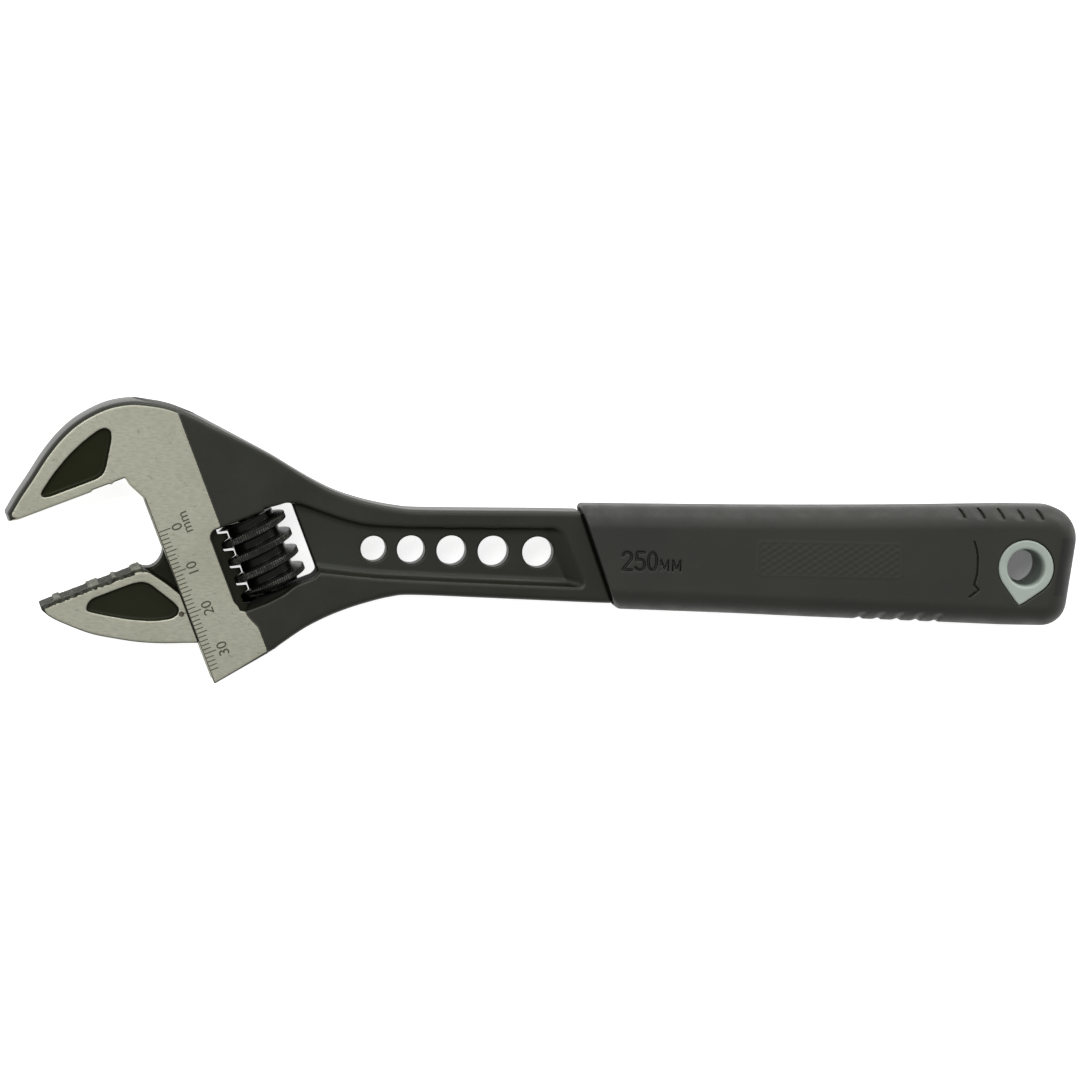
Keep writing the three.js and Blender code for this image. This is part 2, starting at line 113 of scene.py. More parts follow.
SCALE_ZERO = 12.7  # q of the scale's 0, and its length
SCALE_LENGTH = 34
TOP_GROOVES = (160.2, 4.6)  # X of the grip's first groove, and the pitch
BOTTOM_GROOVES = (139.6, 4.5)
GRIP_LEAN = (GRIP_BOTTOM_START - GRIP_TOP_START) / 22
HEAD_TAPER = 0.056  # how fast the forged head thins towards the shank
STEEL_METAL = 0.85  # metallic value of ground steel and of black
BLACK_METAL = 0.25

# ---- the camera ----
CAMERA_LEAN = (6.6, 4.8, 1.2)  # sideways, upwards and roll, in degrees
CAMERA_AIM = (64, 3.15, 0)
CAMERA_DISTANCE = 1.5  # metres
CAMERA_LENS = 215.5

COS, SIN = math.cos(HEAD_ANGLE), math.sin(HEAD_ANGLE)
FRAME_ORIGIN = Vector(JOINTS["worm_spin"]["pos_m"]) - MM * Vector(
    (WORM_P * COS - WORM_CENTRE * SIN, WORM_P * SIN + WORM_CENTRE * COS, 0))


def head_point(p, q):
    """The design-frame place of a point given in the head's axes."""
    return (p * COS - q * SIN, p * SIN + q * COS)


# ---- outlines ----
def curve(points, steps=6):
    """A smooth open curve through the points, as a list of points."""
    pts = [np.array(p, float) for p in points]
    pts = [2 * pts[0] - pts[1]] + pts + [2 * pts[-1] - pts[-2]]
    out = []
    for a, b, c, d in zip(pts, pts[1:], pts[2:], pts[3:]):
        for i in range(steps):
            t = i / steps
            out.append(0.5 * (2 * b + (c - a) * t + (2 * a - 5 * b + 4 * c - d) * t ** 2
                              + (3 * b - a - 3 * c + d) * t ** 3))
    out.append(pts[-2])
    return [tuple(p) for p in out]


def arc(x, y, radius, start, end, steps=10):
    """Points along a circular arc, with its angles in degrees."""
    angles = np.radians(np.linspace(start, end, steps + 1))
    return [(x + radius * math.cos(a), y + radius * math.sin(a)) for a in angles]


# ---- distance fields: negative inside ----
class Grid:
    """A box of sample points; x and y vary over the plan and z through the thickness."""

    def __init__(self, low, high, step):
        self.low = np.array(low, float)
        self.step = step
        counts = np.ceil((np.array(high) - self.low) / step).astype(int) + 1
        axes = [self.low[i] + step * np.arange(counts[i]) for i in range(3)]
        self.x, self.y = (a[:, :, None].astype(np.float32) for a in np.meshgrid(*axes[:2], indexing="ij"))
        self.z = axes[2][None, None, :].astype(np.float32)
        self.p = self.x * COS + self.y * SIN
        self.q = self.y * COS - self.x * SIN


def polygon(outline, x, y):
    """Distance from the sample points to a closed outline."""
    pts = np.array(outline, np.float32)
    nearest = np.full(x.shape, 1e9, np.float32)
    inside = np.zeros(x.shape, bool)
    for (ax, ay), (bx, by) in zip(pts, np.roll(pts, -1, axis=0)):
        ex, ey = bx - ax, by - ay
        length = ex * ex + ey * ey
        if length < 1e-9:
            continue
        wx, wy = x - ax, y - ay
        t = np.clip((wx * ex + wy * ey) / length, 0, 1)
        nearest = np.minimum(nearest, (wx - ex * t) ** 2 + (wy - ey * t) ** 2)
        if ay != by:
            crossing = ((ay > y) != (by > y)) & (x < ax + (y - ay) * (ex / ey))
            inside ^= crossing
    return np.where(inside, -1, 1) * np.sqrt(nearest)


def stroke(points, x, y):
    """Unsigned distance to an open line through the points."""
    nearest = np.full(x.shape, 1e9, np.float32)
    for (ax, ay), (bx, by) in zip(points, points[1:]):
        ex, ey = bx - ax, by - ay
        wx, wy = x - ax, y - ay
        t = np.clip((wx * ex + wy * ey) / max(ex * ex + ey * ey, 1e-9), 0, 1)
        nearest = np.minimum(nearest, (wx - ex * t) ** 2 + (wy - ey * t) ** 2)
    return np.sqrt(nearest)


def rounded_box(x, y, left, right, low, high, corner):
    """Distance to a rectangle with round corners."""
    dx = np.abs(x - (left + right) / 2) - (right - left) / 2 + corner
    dy = np.abs(y - (low + high) / 2) - (high - low) / 2 + corner
    return np.hypot(np.maximum(dx, 0), np.maximum(dy, 0)) + np.minimum(np.maximum(dx, dy), 0) - corner


def both(a, b, radius):
    """What is inside both, with the new edge rounded."""
    u, v = np.maximum(radius + a, 0), np.maximum(radius + b, 0)
    return np.minimum(-radius, np.maximum(a, b)) + np.hypot(u, v)


def either(a, b, radius):
    """What is inside either, with the new corner filled."""
    return -both(-a, -b, radius)


def cut(a, b, radius):
    """What is inside the first and outside the second."""
    return both(a, -b, radius)


def smoothstep(value, low, high):
    """0 at the first limit, 1 at the second, smooth between them."""
    t = np.clip((value - low) / (high - low), 0, 1)
    return t * t * (3 - 2 * t)


# ---- a mesh from a distance field ----
CORNERS = [(i, j, k) for i in (0, 1) for j in (0, 1) for k in (0, 1)]
EDGES = [(a, b) for a in range(8) for b in range(a + 1, 8)
         if sum(abs(u - v) for u, v in zip(CORNERS[a], CORNERS[b])) == 1]


def sample(field, place):
    """Value and gradient of the field at places in grid steps."""
    base = np.clip(np.floor(place).astype(int), 0, np.array(field.shape) - 2)
    f = place - base
    value = np.zeros(len(place))
    slope = np.zeros((len(place), 3))
    for corner in CORNERS:
        v = field[tuple((base + corner).T)].astype(float)
        w = [f[:, i] if corner[i] else 1 - f[:, i] for i in range(3)]
        s = [1 if corner[i] else -1 for i in range(3)]
        value += v * w[0] * w[1] * w[2]
        slope[:, 0] += v * s[0] * w[1] * w[2]
        slope[:, 1] += v * w[0] * s[1] * w[2]
        slope[:, 2] += v * w[0] * w[1] * s[2]
    return value, slope


def surface(field, grid):
    """Vertices in millimetres and quads of the surface where the field is zero."""
    inside = field < 0
    n = np.array(field.shape) - 1
    count = np.zeros(n, np.uint8)
    for i, j, k in CORNERS:
        count += inside[i:n[0] + i, j:n[1] + j, k:n[2] + k]
    active = (count > 0) & (count < 8)
    cells = np.argwhere(active)
    number = np.full(active.shape, -1, np.int32)
    number[active] = np.arange(len(cells))
    values = np.stack([field[tuple((cells + c).T)] for c in CORNERS])
    total = np.zeros((len(cells), 3))
    hits = np.zeros(len(cells))
    for a, b in EDGES:
        va, vb = values[a], values[b]
        crossed = (va < 0) != (vb < 0)
        t = np.where(crossed, va / np.where(crossed, va - vb, 1), 0)
        ca, cb = np.array(CORNERS[a]), np.array(CORNERS[b])
        total += np.where(crossed[:, None], ca + t[:, None] * (cb - ca), 0)
        hits += crossed
    place = cells + total / hits[:, None]
    for _ in range(3):  # moves every vertex onto the zero of the field
        value, slope = sample(field, place)
        size = np.maximum((slope ** 2).sum(1), 1e-12)
        push = np.clip(value / size, -0.4, 0.4)[:, None] * slope
        place = place - 0.8 * push
    quads = []
    for axis in range(3):
        u, v = (axis + 1) % 3, (axis + 2) % 3
        take = [slice(1, -1)] * 3
        take[axis] = slice(0, -1)
        near = inside[tuple(take)]
        take[axis] = slice(1, None)
        far = inside[tuple(take)]
        for flip in (False, True):
            found = near & ~far if not flip else ~near & far
            at = np.argwhere(found)
            at[:, u] += 1
            at[:, v] += 1
            steps = ((1, 1), (0, 1), (0, 0), (1, 0))
            ring = []
            for du, dv in steps if not flip else steps[::-1]:
                c = at.copy()
                c[:, u] -= du
                c[:, v] -= dv
                ring.append(number[tuple(c.T)])
            quads.append(np.stack(ring, 1))
    return grid.low + place * grid.step, np.concatenate(quads)


# ---- pieces ----
def build_mesh(name, verts, faces, in_head=False, smooth=True):
    """A mesh object from millimetre vertices in the design frame, or in the head's axes."""
    v = np.array(verts, float)
    if in_head:
        p, q = v[:, 0].copy(), v[:, 1].copy()
        v[:, 0], v[:, 1] = p * COS - q * SIN, p * SIN + q * COS
    v = v * MM + np.array(FRAME_ORIGIN)
    mesh = bpy.data.meshes.new(name)
    mesh.from_pydata(v.tolist(), [], [list(map(int, f)) for f in faces])
    mesh.validate()
    mesh.update()
    if smooth:
        mesh.polygons.foreach_set("use_smooth", np.ones(len(mesh.polygons), bool))
    obj = bpy.data.objects.new(name, mesh)
    bpy.context.scene.collection.objects.link(obj)
    return obj


def mount(obj, material, body, slot, *nodes):
    """Gives a piece its material and its body, and hides the CAD nodes that it stands for."""
    obj.data.materials.append(material)
    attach(obj, body)
    if nodes:
        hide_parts(*nodes)
    return obj


# ---- the forged body ----
def upper_edge():
    """The fixed jaw's back and the top of the shank, from the jaw's tip to the grip."""
    back = [(JAW_TIP, 29.2), (-49.3, 32.2), (-45, 35.3), (-40, 39), (-34.9, 41.95), (-29.8, 43.8),
            (-23.7, 44.6), (-18.8, 44.1), (-14.2, 42.45)]
    top = [(-21.2, 32.6), (-10.3, 27.45), (0, 22.15), (5.1, 19.25), (10.1, 16.45), (15.1, 14.05),
           (20.1, 12.35), (25.1, 11.15), (30.1, 10.35), (35.1, 10.0), (50, 10.15), (65, 10.35), (83.6, 10.4)]
    return curve([head_point(*p) for p in back] + top)


def body_outline():
    """One closed outline from the fixed jaw's tip over its back, along the shank and back."""
    bottom = [(83.6, -10.3), (80.6, -10.82), (64, -10.5), (50, -10.15), (34, -9.85), (29, -10.4), (24, -11.7),
              (19, -13.35), (14, -15.45), (9, -18.15), (4, -21.65), head_point(-6, -22.05)]
    tang = [(84, 9)] + arc(177.6, 2.6, 6.4, 90, 0, 6) + arc(177.6, -2.6, 6.4, 0, -90, 6) + [(84, -9)]
    throat = [(RAIL_WALL, 21), (-24.2, 25.4), (-24.5, FIXED_FACE + 0.3), (-27.2, FIXED_FACE + 0.3),
              (-27.9, FIXED_FACE - 0.05), (-28.4, FIXED_FACE + 0.3), (-32.4, FIXED_FACE + 0.3),
              (-32.9, FIXED_FACE)]
    return ([head_point(JAW_TIP, FIXED_FACE)] + upper_edge() + tang + curve(bottom)
            + [head_point(RAIL_WALL, -24.6)] + [head_point(*p) for p in throat])


FIXED_POCKET = [(-44.3, 30.3), (-43.0, 29.3), (-30, 29.3), (-28.2, 30.3), (-23.8, 37.5), (-24, 39.2),
                (-25.6, 39.8), (-29.9, 38.6), (-34.9, 36.5), (-39.7, 33.7)]
MOVING_POCKET = [(-43.6, 2.1), (-42, 3.9), (-31, 3.9), (-28.2, 3.1), (-23.7, -4.3), (-23.5, -6.0),
                 (-25.4, -7.1), (-30, -6.0), (-35, -3.7), (-40, -0.7), (-43.1, 1.3)]


def trimmed(outline, reach):
    """The outline with every corner cut off, at most `reach` along each side."""
    out = []
    pts = [np.array(p, float) for p in outline]
    for a, b in zip(pts, pts[1:] + pts[:1]):
        step = (b - a) * min(0.3, reach / np.linalg.norm(b - a))
        out += [tuple(a + step), tuple(b - step)]
    return out


def pocket(outline, p, q, z):
    """A shallow recess with rounded corners in both ground faces."""
    wall = polygon(trimmed(trimmed(outline, 0.9), 0.35), p, q)
    slope = (HEAD_HALF - np.abs(z)) * 0.25
    return both(wall + slope, (HEAD_HALF - POCKET_DEPTH) - np.abs(z), 0.35)


def recess_outline():
    """The plan of the shank's recess, from the head to the grip."""
    upper = curve([(6.8, 11), (9, 10.4), (14, 8.7), (19, 7.2), (24, 6.3), (34, 6), (54, 6.2), (66.5, 6.4)], 4)
    lower = curve([(72.3, -7.3), (54, -6.9), (34, -6.4), (24, -6), (12.5, -4.9)], 4)
    right = [(68.6, 6.1), (69.9, 4.9), (74.4, -5.2), (74.3, -6.6), (73.4, -7.3)]
    return [head_point(3, 9.1)] + upper + right + lower + [head_point(3, -9.5)]


def shank_recess(g):
    """The I-section's side recess: sloping walls and a flat web, filleted where they meet."""
    wall = polygon(recess_outline(), g.x, g.y)
    slope = 0.3 - 0.2 * smoothstep(g.y, 1, 4)
    side = (wall + (SHANK_HALF - np.abs(g.z)) * slope) / np.hypot(1, slope)
    ramp = g.x + 0.45 * g.y - 67.2  # beyond this line the web rises to the grip
    floor = WEB_HALF + 0.62 * np.maximum(ramp, 0) + 0.05 * smoothstep(ramp, -2, 0)
    return both(side, (floor - np.abs(g.z)) / 1.1, 1.2)


def half_thickness(g):
    """Half the thickness of the forging over its plan."""
    taper = SHOULDER_HALF - (g.p - GROUND_EDGE) * HEAD_TAPER
    forged = np.maximum(taper, SHANK_HALF)
    ledge = smoothstep(g.p, ground_edge(g.q) - 0.12, ground_edge(g.q) + 0.28)
    half = HEAD_HALF + (forged - HEAD_HALF) * ledge
    inside_grip = smoothstep(g.x, 82.5, 84.5)
    return half + (TANG_HALF - half) * inside_grip


def ground_edge(q):
    """Where the ground face ends along p; it swings in beside the window's lower corner."""
    return GROUND_EDGE - 1.5 * (1 - smoothstep(np.abs(q + 11.5), 0.5, 5.5))


def oval_mark(g, plan):
    """A shallow oval in the rim above the head."""
    turn = math.radians(-10)
    along = (g.x - OVAL[0]) * math.cos(turn) + (g.y - OVAL[1]) * math.sin(turn)
    oval = (np.hypot(along / OVAL[2], g.z / OVAL[3]) - 1) * OVAL[3]
    return both(oval, -(plan + 0.15), 0.1)


def body_field(g):
    """The forging: its outline, then every bore, window, recess and pocket."""
    plan = polygon(body_outline(), g.x, g.y)
    back = 1 - smoothstep(stroke(upper_edge(), g.x, g.y), 1.0, 3.5)
    back = back * (1 - smoothstep(g.x, -16, 4))
    plan = plan + 0.6 * back * (g.z / HEAD_HALF) ** 2
    edge = 0.4 + 0.7 * back + 0.8 * smoothstep(g.x, -14, 16) - 0.7 * smoothstep(g.x, 83, 85)
    field = both(plan, np.abs(g.z) - half_thickness(g), edge)
    bore = np.hypot(g.p - RAIL_P, g.z) - RAIL_RADIUS - GAP
    field = cut(field, np.maximum(bore, g.q - BORE_TOP), 0.3)
    slot = np.maximum(np.abs(g.z) - NECK_HALF - GAP, g.q - (NECK_TOP + 20.6))
    slot = np.maximum(slot, np.maximum(-24.4 - g.p, g.p - RAIL_P))
    field = cut(field, slot, 0.3)
    left, right, low, high, corner = WINDOW
    low = low + 1.3 * smoothstep(-g.p, 6.0, 8.3) * smoothstep(-g.z, 4.5, 5.3)
    field = cut(field, rounded_box(g.p, g.q, left, right, low, high, corner), 0.55)
    scoop = polygon([(-10.7, -8.5), (-10.4, -10.8), (-9.2, -11.5), (-3.7, -11.5), (0.3, -11),
                     (4.3, -9.9), (4.3, -8.5)], g.p, g.q)
    field = cut(field, both(scoop, 4.9 - g.z, 1.2), 0.3)
    pin = np.hypot(g.p - WORM_P, g.z)
    field = cut(field, np.maximum(pin - 2.7, np.abs(g.q) - 13.7), 0.2)
    field = cut(field, np.maximum(pin - 3.6, g.q + 12.9), 0.4)
    field = cut(field, shank_recess(g), 0.55)
    seam = np.abs(g.x - front_line(g.y, -0.1)) - 0.4
    field = cut(field, np.maximum(seam, -(field + 0.5)), 0.15)
    field = cut(field, pocket(FIXED_POCKET, g.p, g.q, g.z), 0.15)
    field = cut(field, oval_mark(g, plan), 0.2)
    for x, radius in WEB_HOLES:
        field = cut(field, np.hypot(g.x - x, g.y - WEB_HOLE_Y) - radius, 0.35)
    return cut(field, np.hypot(g.x - BUSH[0], g.y - BUSH[1]) - BUSH[2] - 0.6, 0.3)


def make_body():
    g = Grid((-60.6, -31.6, -8.2), (185, 34.6, 8.2), STEP_BODY)
    return build_mesh("wrench_body_forging", *surface(body_field(g), g))


# ---- the movable jaw, in the head's axes ----
def jaw_outline():
    """The plan of the movable jaw outside the head."""
    lower = curve([(JAW_TIP, 5.4), (-51.8, 3.4), (-49.7, 1.1), (-44.7, -3.4), (-39.7, -6.6),
                   (-34.7, -9.4), (-29.7, -11.6), (-25, -13.3), (RAIL_WALL - SLIDE_GAP, -14.4)])
    shoulder = curve([(RAIL_WALL - SLIDE_GAP, -2.4), (-24, 0.9), (-26.2, 4), (-27.2, 5.3),
                      (-28.4, MOVING_FACE)], 4)
    return [(JAW_TIP, MOVING_FACE)] + lower + shoulder


def neck_outline():
    """The plan of the web between the jaw and its rail."""
    shoulder = curve([(RAIL_WALL + 0.4, NECK_TOP), (-22.5, 7.4), (-23.6, 6.3), (-24.7, 5.7), (-26, 5.5),
                      (-27.4, 5.7), (-28.4, 5.9)], 4)
    return ([(RAIL_P, RAIL_BOTTOM), (RAIL_P, NECK_TOP)] + shoulder
            + [(-28, -8), (RAIL_WALL - 0.3, -14.2), (RAIL_WALL + 2, -17), (RAIL_WALL + 2, RAIL_BOTTOM)])


LANDS = ((-49.6, -48.0), (-41.3, -38.6), (-35.3, -34.4), (-30.6, -28.3))


def rack_gap(p, q, z):
    """The space for the worm's thread: its helix with a little room on every side."""
    turn = np.arctan2(p - WORM_P, z) / (2 * math.pi)
    turns = thread_turns(q + RACK_PLAY, turn)
    radius, _ = thread_radius(turns, RACK_ROOM + RACK_PLAY)
    return (WORM_P - p - radius - RACK_ROOM) * 0.5


def worn(a, b):
    """A smooth uneven pattern between -1 and 1."""
    return (np.sin(3.1 * a + 1.3 * np.sin(1.7 * b)) * np.sin(2.3 * b + 1.9 * np.sin(1.1 * a + 0.4))
            + 0.5 * np.sin(6.7 * a - 2.9 * b + 0.8)) / 1.5


def jaw_field(x, y, z):
    """The movable jaw with its neck, round rail and rack."""
    p, q = x, y
    strip = smoothstep(q, 4.2, 5.6) * smoothstep(-p, 26.5, 28.5)
    field = both(polygon(jaw_outline(), p, q) + 0.05 * strip * worn(p, z), np.abs(z) - HEAD_HALF,
                 0.35 + 0.5 * strip)
    for start, end in LANDS:
        land = rounded_box(p, q, start, end, MOVING_FACE - 2, MOVING_FACE + LAND_HEIGHT - 0.07, 0.25)
        land = land + 0.07 * worn(p * 1.3, z)
        field = either(field, both(land, np.abs(z) - HEAD_HALF + 0.06, 0.6), 0.12)
    neck = both(polygon(neck_outline(), p, q), np.abs(z) - NECK_HALF, 0.5)
    field = either(field, neck, 0.9)
    rail = both(np.hypot(p - RAIL_P, z) - RAIL_RADIUS, np.maximum(q - RAIL_TOP, RAIL_BOTTOM - q), 0.6)
    rail = both(rail, p - (WORM_P - WORM_ROOT - GAP), 0.25)
    field = either(field, rail, 0.3)
    field = both(field, p - (WORM_P - WORM_ROOT - GAP), 0.1)
    field = cut(field, rack_gap(p, q, z), 0.15)
    return cut(field, pocket(MOVING_POCKET, p, q, z), 0.15)


def make_jaw():
    g = Grid((-53.6, -22.4, -8), (-5.8, 11.6, 8), STEP_JAW)
    return build_mesh("movable_jaw_forging", *surface(jaw_field(g.x, g.y, g.z), g), in_head=True)


# ---- the worm ----
def thread_turns(q, turn):
    """How far along the helix a place lies; `turn` is its angle in turns from the near side."""
    return (q - WORM_CENTRE) / WORM_PITCH + 0.5 - (turn - 0.75)


def thread_radius(turns, room=0.0):
    """Radius of the thread and how far a place is on its crest."""
    off = np.abs(turns % 1.0 - 0.5) * WORM_PITCH
    climb = np.clip((CREST_WIDTH / 2 + room + FLANK_WIDTH - off) / FLANK_WIDTH, 0, 1)
    soft = climb * climb * (3 - 2 * climb)
    return WORM_ROOT + (WORM_RADIUS - WORM_ROOT) * (0.4 * climb + 0.6 * soft), smoothstep(climb, 0.85, 1.0)


def make_worm():
    """The thread as a grid of rings: knurled crests, rounded flanks, chamfered ends and a bore."""
    around, along = 432, 220
    angle = np.linspace(0, 2 * math.pi, around, endpoint=False)
    place = np.linspace(WORM_LOW, WORM_HIGH, along)
    a, q = np.meshgrid(angle, place, indexing="ij")
    radius, crest = thread_radius(thread_turns(q, a / (2 * math.pi)))
    ridge = 0.5 + 0.5 * np.cos(KNURLS * a)
    radius = radius - 0.3 * crest * ridge ** 3
    end = np.minimum(q - WORM_LOW, WORM_HIGH - q)
    radius = np.minimum(radius, WORM_ROOT + 0.3 + end * 1.9)
    seat = WORM_LOW + SPRING_POCKET
    rings = [(WORM_BORE, WORM_HIGH - 0.3), (WORM_BORE, seat), (SPRING_SEAT_RADIUS, seat),
             (SPRING_SEAT_RADIUS, WORM_LOW)]
    columns = [np.stack([radius[:, i] * np.sin(angle), np.full(around, place[i]),
                         radius[:, i] * np.cos(angle)], 1) for i in range(along)]
    columns += [np.stack([r * np.sin(angle), np.full(around, h), r * np.cos(angle)], 1)
                for r, h in rings]
    verts = np.concatenate(columns)
    verts[:, 0] += WORM_P
    faces = []
    total = len(columns)
    for i in range(total):
        j = (i + 1) % total
        for k in range(around):
            m = (k + 1) % around
            faces.append((i * around + k, i * around + m, j * around + m, j * around + k))
    return build_mesh("adjusting_worm_thread", verts, faces, in_head=True)


# ---- pin and spring ----
def pin_field(p, q, z):
    """The worm's pin: a threaded head with a screwdriver slot, and a plain shaft."""
    off = np.hypot(p - WORM_P, z)
    turn = np.arctan2(p - WORM_P, z) / (2 * math.pi)
    groove = 0.16 * np.cos(2 * math.pi * (q / 0.8 - turn))
    top = both(off - PIN_HEAD_RADIUS - groove, np.maximum(PIN_LOW - q, q - PIN_LOW - PIN_HEAD_LENGTH), 0.35)
    shaft = both(off - PIN_RADIUS, np.maximum(PIN_LOW - q, q - PIN_HIGH), 0.5)
    field = either(top, shaft, 0.2)
    return cut(field, np.maximum(np.abs(z) - 0.5, q - PIN_LOW - 1.3), 0.15)


def make_pin():
    g = Grid((WORM_P - 4, -18.8, -4), (WORM_P + 4, 14, 4), 0.16)
    return build_mesh("worm_pin_screw", *surface(pin_field(g.x, g.y, g.z), g), in_head=True)


def make_spring():
    """Two and a half turns of round wire in the worm's end."""
    around, steps = 12, 120
    low = WINDOW[2] + GAP + SPRING_WIRE
    high = WORM_LOW + SPRING_POCKET - GAP - SPRING_WIRE
    verts, faces = [], []
    for i in range(steps + 1):
        t = i / steps
        a = 2 * math.pi * SPRING_TURNS * t
        centre = Vector((SPRING_RADIUS * math.sin(a), low + (high - low) * t, SPRING_RADIUS * math.cos(a)))
        out = Vector((math.sin(a), 0, math.cos(a)))
        for k in range(around):
            b = 2 * math.pi * k / around
            point = centre + SPRING_WIRE * (math.cos(b) * out + math.sin(b) * Vector((0, 1, 0)))
            verts.append((point.x + WORM_P, point.y, point.z))
    for i in range(steps):
        for k in range(around):
            m = (k + 1) % around
            faces.append((i * around + k, i * around + m, (i + 1) * around + m, (i + 1) * around + k))
    faces.append(tuple(range(around))[::-1])
    faces.append(tuple(steps * around + k for k in range(around)))
    return build_mesh("worm_spring_coil", verts, faces, in_head=True)


# ---- the grip ----
def grip_outline():
    top = curve([(60, 11.7), (110, 12.25), (145, 13.0), (172, 13.9)], 4)
    bottom = curve([(172, -14.1), (145, -13.5), (125, -13.1), (110, -12.7), (85, -12.25), (60, -11.95)], 4)
    end = arc(GRIP_END - 7.7, 6.3, 7.7, 90, -7, 14) + arc(GRIP_END - 7.8, -8.1, 6, -7, -90, 12)
    return top + end + bottom


def teardrop(x, y, grow=0.0):
    """Distance to the bush's outline: a circle with two tangents that meet in a point."""
    radius = BUSH[2] + grow
    reach = Vector((BUSH_POINT[0] - BUSH[0], BUSH_POINT[1] - BUSH[1]))
    half = math.acos(BUSH[2] / reach.length)
    heading = math.degrees(math.atan2(reach.y, reach.x))
    away = reach * (radius / BUSH[2])
    ring = arc(BUSH[0], BUSH[1], radius, heading + math.degrees(half),
               heading - math.degrees(half) + 360, 40)
    sharp = polygon(ring + [(BUSH[0] + away.x, BUSH[1] + away.y)], x, y)
    from_point = np.hypot(x - BUSH_POINT[0], y - BUSH_POINT[1])
    return sharp + 0.175 * np.clip(1 - from_point / 1.5, 0, 1)


def front_line(y, offset=0.0):
    """X of the grip's slanted front edge."""
    return GRIP_TOP_START + offset + GRIP_LEAN * (11 - y)


def glyph_strokes():
    """The size mark: digits and letters as lines in a box one unit high."""
    two = arc(0.28, 0.72, 0.26, 165, -35, 10) + [(0.02, 0.02), (0.56, 0.02)]
    five = [(0.52, 0.98), (0.1, 0.98), (0.07, 0.55)] + arc(0.27, 0.32, 0.29, 110, -150, 12)
    zero = [(0.28 + 0.25 * math.cos(a), 0.5 + 0.48 * math.sin(a)) for a in np.linspace(0, 2 * math.pi, 25)]
    em = [(0, 0), (0, 0.62), (0.22, 0.1), (0.44, 0.62), (0.44, 0)]
    return {"2": [two], "5": [five], "0": [zero], "M": [em]}


def size_mark(x, y):
    """Distance to the strokes of the debossed nominal length."""
    height, base = 4.3, -2.8
    glyphs = glyph_strokes()
    nearest = np.full(x.shape, 1e9, np.float32)
    for left, name in ((82.4, "2"), (85.4, "5"), (88.3, "0"), (91.4, "M"), (94.2, "M")):
        faint = 0.14 if name == "M" else 0.0
        for line in glyphs[name]:
            points = [(left + 0.92 * u * height, base + v * height) for u, v in line]
            nearest = np.minimum(nearest, stroke(points, x, y) + faint)
    return nearest


def arrow_mark(x, y):
    """A plain turning arrow, debossed beside the hang hole."""
    shaft = curve([(164.7, 5.6), (165.4, 3.4), (165.7, 0.8), (165.6, -2), (165.0, -4.6)], 5)
    barb = [(165.0, -4.6), (166.2, -5.7), (163.9, -7.5)]
    return np.minimum(stroke(shaft, x, y), stroke(barb, x, y))


def relief_panel(x, y):
    """Height of a plain lozenge pattern on a long panel of the grip."""
    frame_edge = rounded_box(x, y, 114, 148, -3.4, 4.6, 1)
    u, v = (x - 131) / 2.4, (y - 0.6) / 1.6
    lozenge = smoothstep(np.abs((u + v) % 1 - 0.5) + np.abs((u - v) % 1 - 0.5), 0.42, 0.58)
    inside = smoothstep(-frame_edge, 0.2, 0.8)
    ring = smoothstep(-np.abs(frame_edge + 0.1), -0.35, -0.1)
    return 0.07 * np.maximum(inside * lozenge, ring)


def grip_grooves(g, field):
    """Five scalloped steps on the top flank and five smaller ones on the bottom edge."""
    heights = [9.6, 10.4, 11.6, 12.6, 13.9, 15.5]
    shifts = [2.7, 2.5, 2.0, 1.4, 0.2, -1.6]
    for i in range(5):
        before = TOP_GROOVES[0] + TOP_GROOVES[1] * i + np.interp(g.y, heights, shifts) - g.x
        scoop = smoothstep(before, -0.12, 0.12) * (1 - smoothstep(before, 0.1, 2.4))
        field = field + 0.3 * scoop * smoothstep(g.y, 10.4, 11.4) * (1 - smoothstep(g.y, 12.6, 13.4))
        line = np.abs(before + 0.05) - 0.2
        reach = np.maximum(10.9 - g.y, g.y - 13.1)
        field = cut(field, np.maximum(np.maximum(line, -(field + 0.55)), reach), 0.1)
    for i in range(5):
        before = BOTTOM_GROOVES[0] + BOTTOM_GROOVES[1] * i + 0.35 * (g.y + 13) - g.x
        scoop = smoothstep(before, -0.15, 0.15) * (1 - smoothstep(before, 0.2, 2.2))
        field = field + 0.55 * scoop * smoothstep(-g.y, 11.2, 12.4)
    return field


def grip_field(g):
    """The soft cover of the grip, hollow, with its marks and grooves."""
    plan = polygon(grip_outline(), g.x, g.y)
    relief = relief_panel(g.x, g.y)
    field = both(plan, np.abs(g.z) - GRIP_HALF + 0.1 - relief, 5.2)
    field = grip_grooves(g, field)
    front = (front_line(g.y) - g.x) / math.hypot(1, GRIP_LEAN)
    field = both(field, front, 0.35 + 0.9 * smoothstep(np.abs(g.y), 9.5, 11.5))
    inner = both(plan + 1.1, np.abs(g.z) - GRIP_HALF + 1.2, 4)
    field = cut(field, inner, 0.2)
    field = cut(field, teardrop(g.x, g.y, 0.12), 0.25)
    marks = np.minimum(size_mark(g.x, g.y) - 0.26, arrow_mark(g.x, g.y) - 0.17)
    return cut(field, np.maximum(marks, (GRIP_HALF - 0.7) - g.z), 0.1)


def make_grip():
    g = Grid((71, -15, -9), (190.2, 15, 9), STEP_GRIP)
    return build_mesh("grip_cover_rubber", *surface(grip_field(g), g))


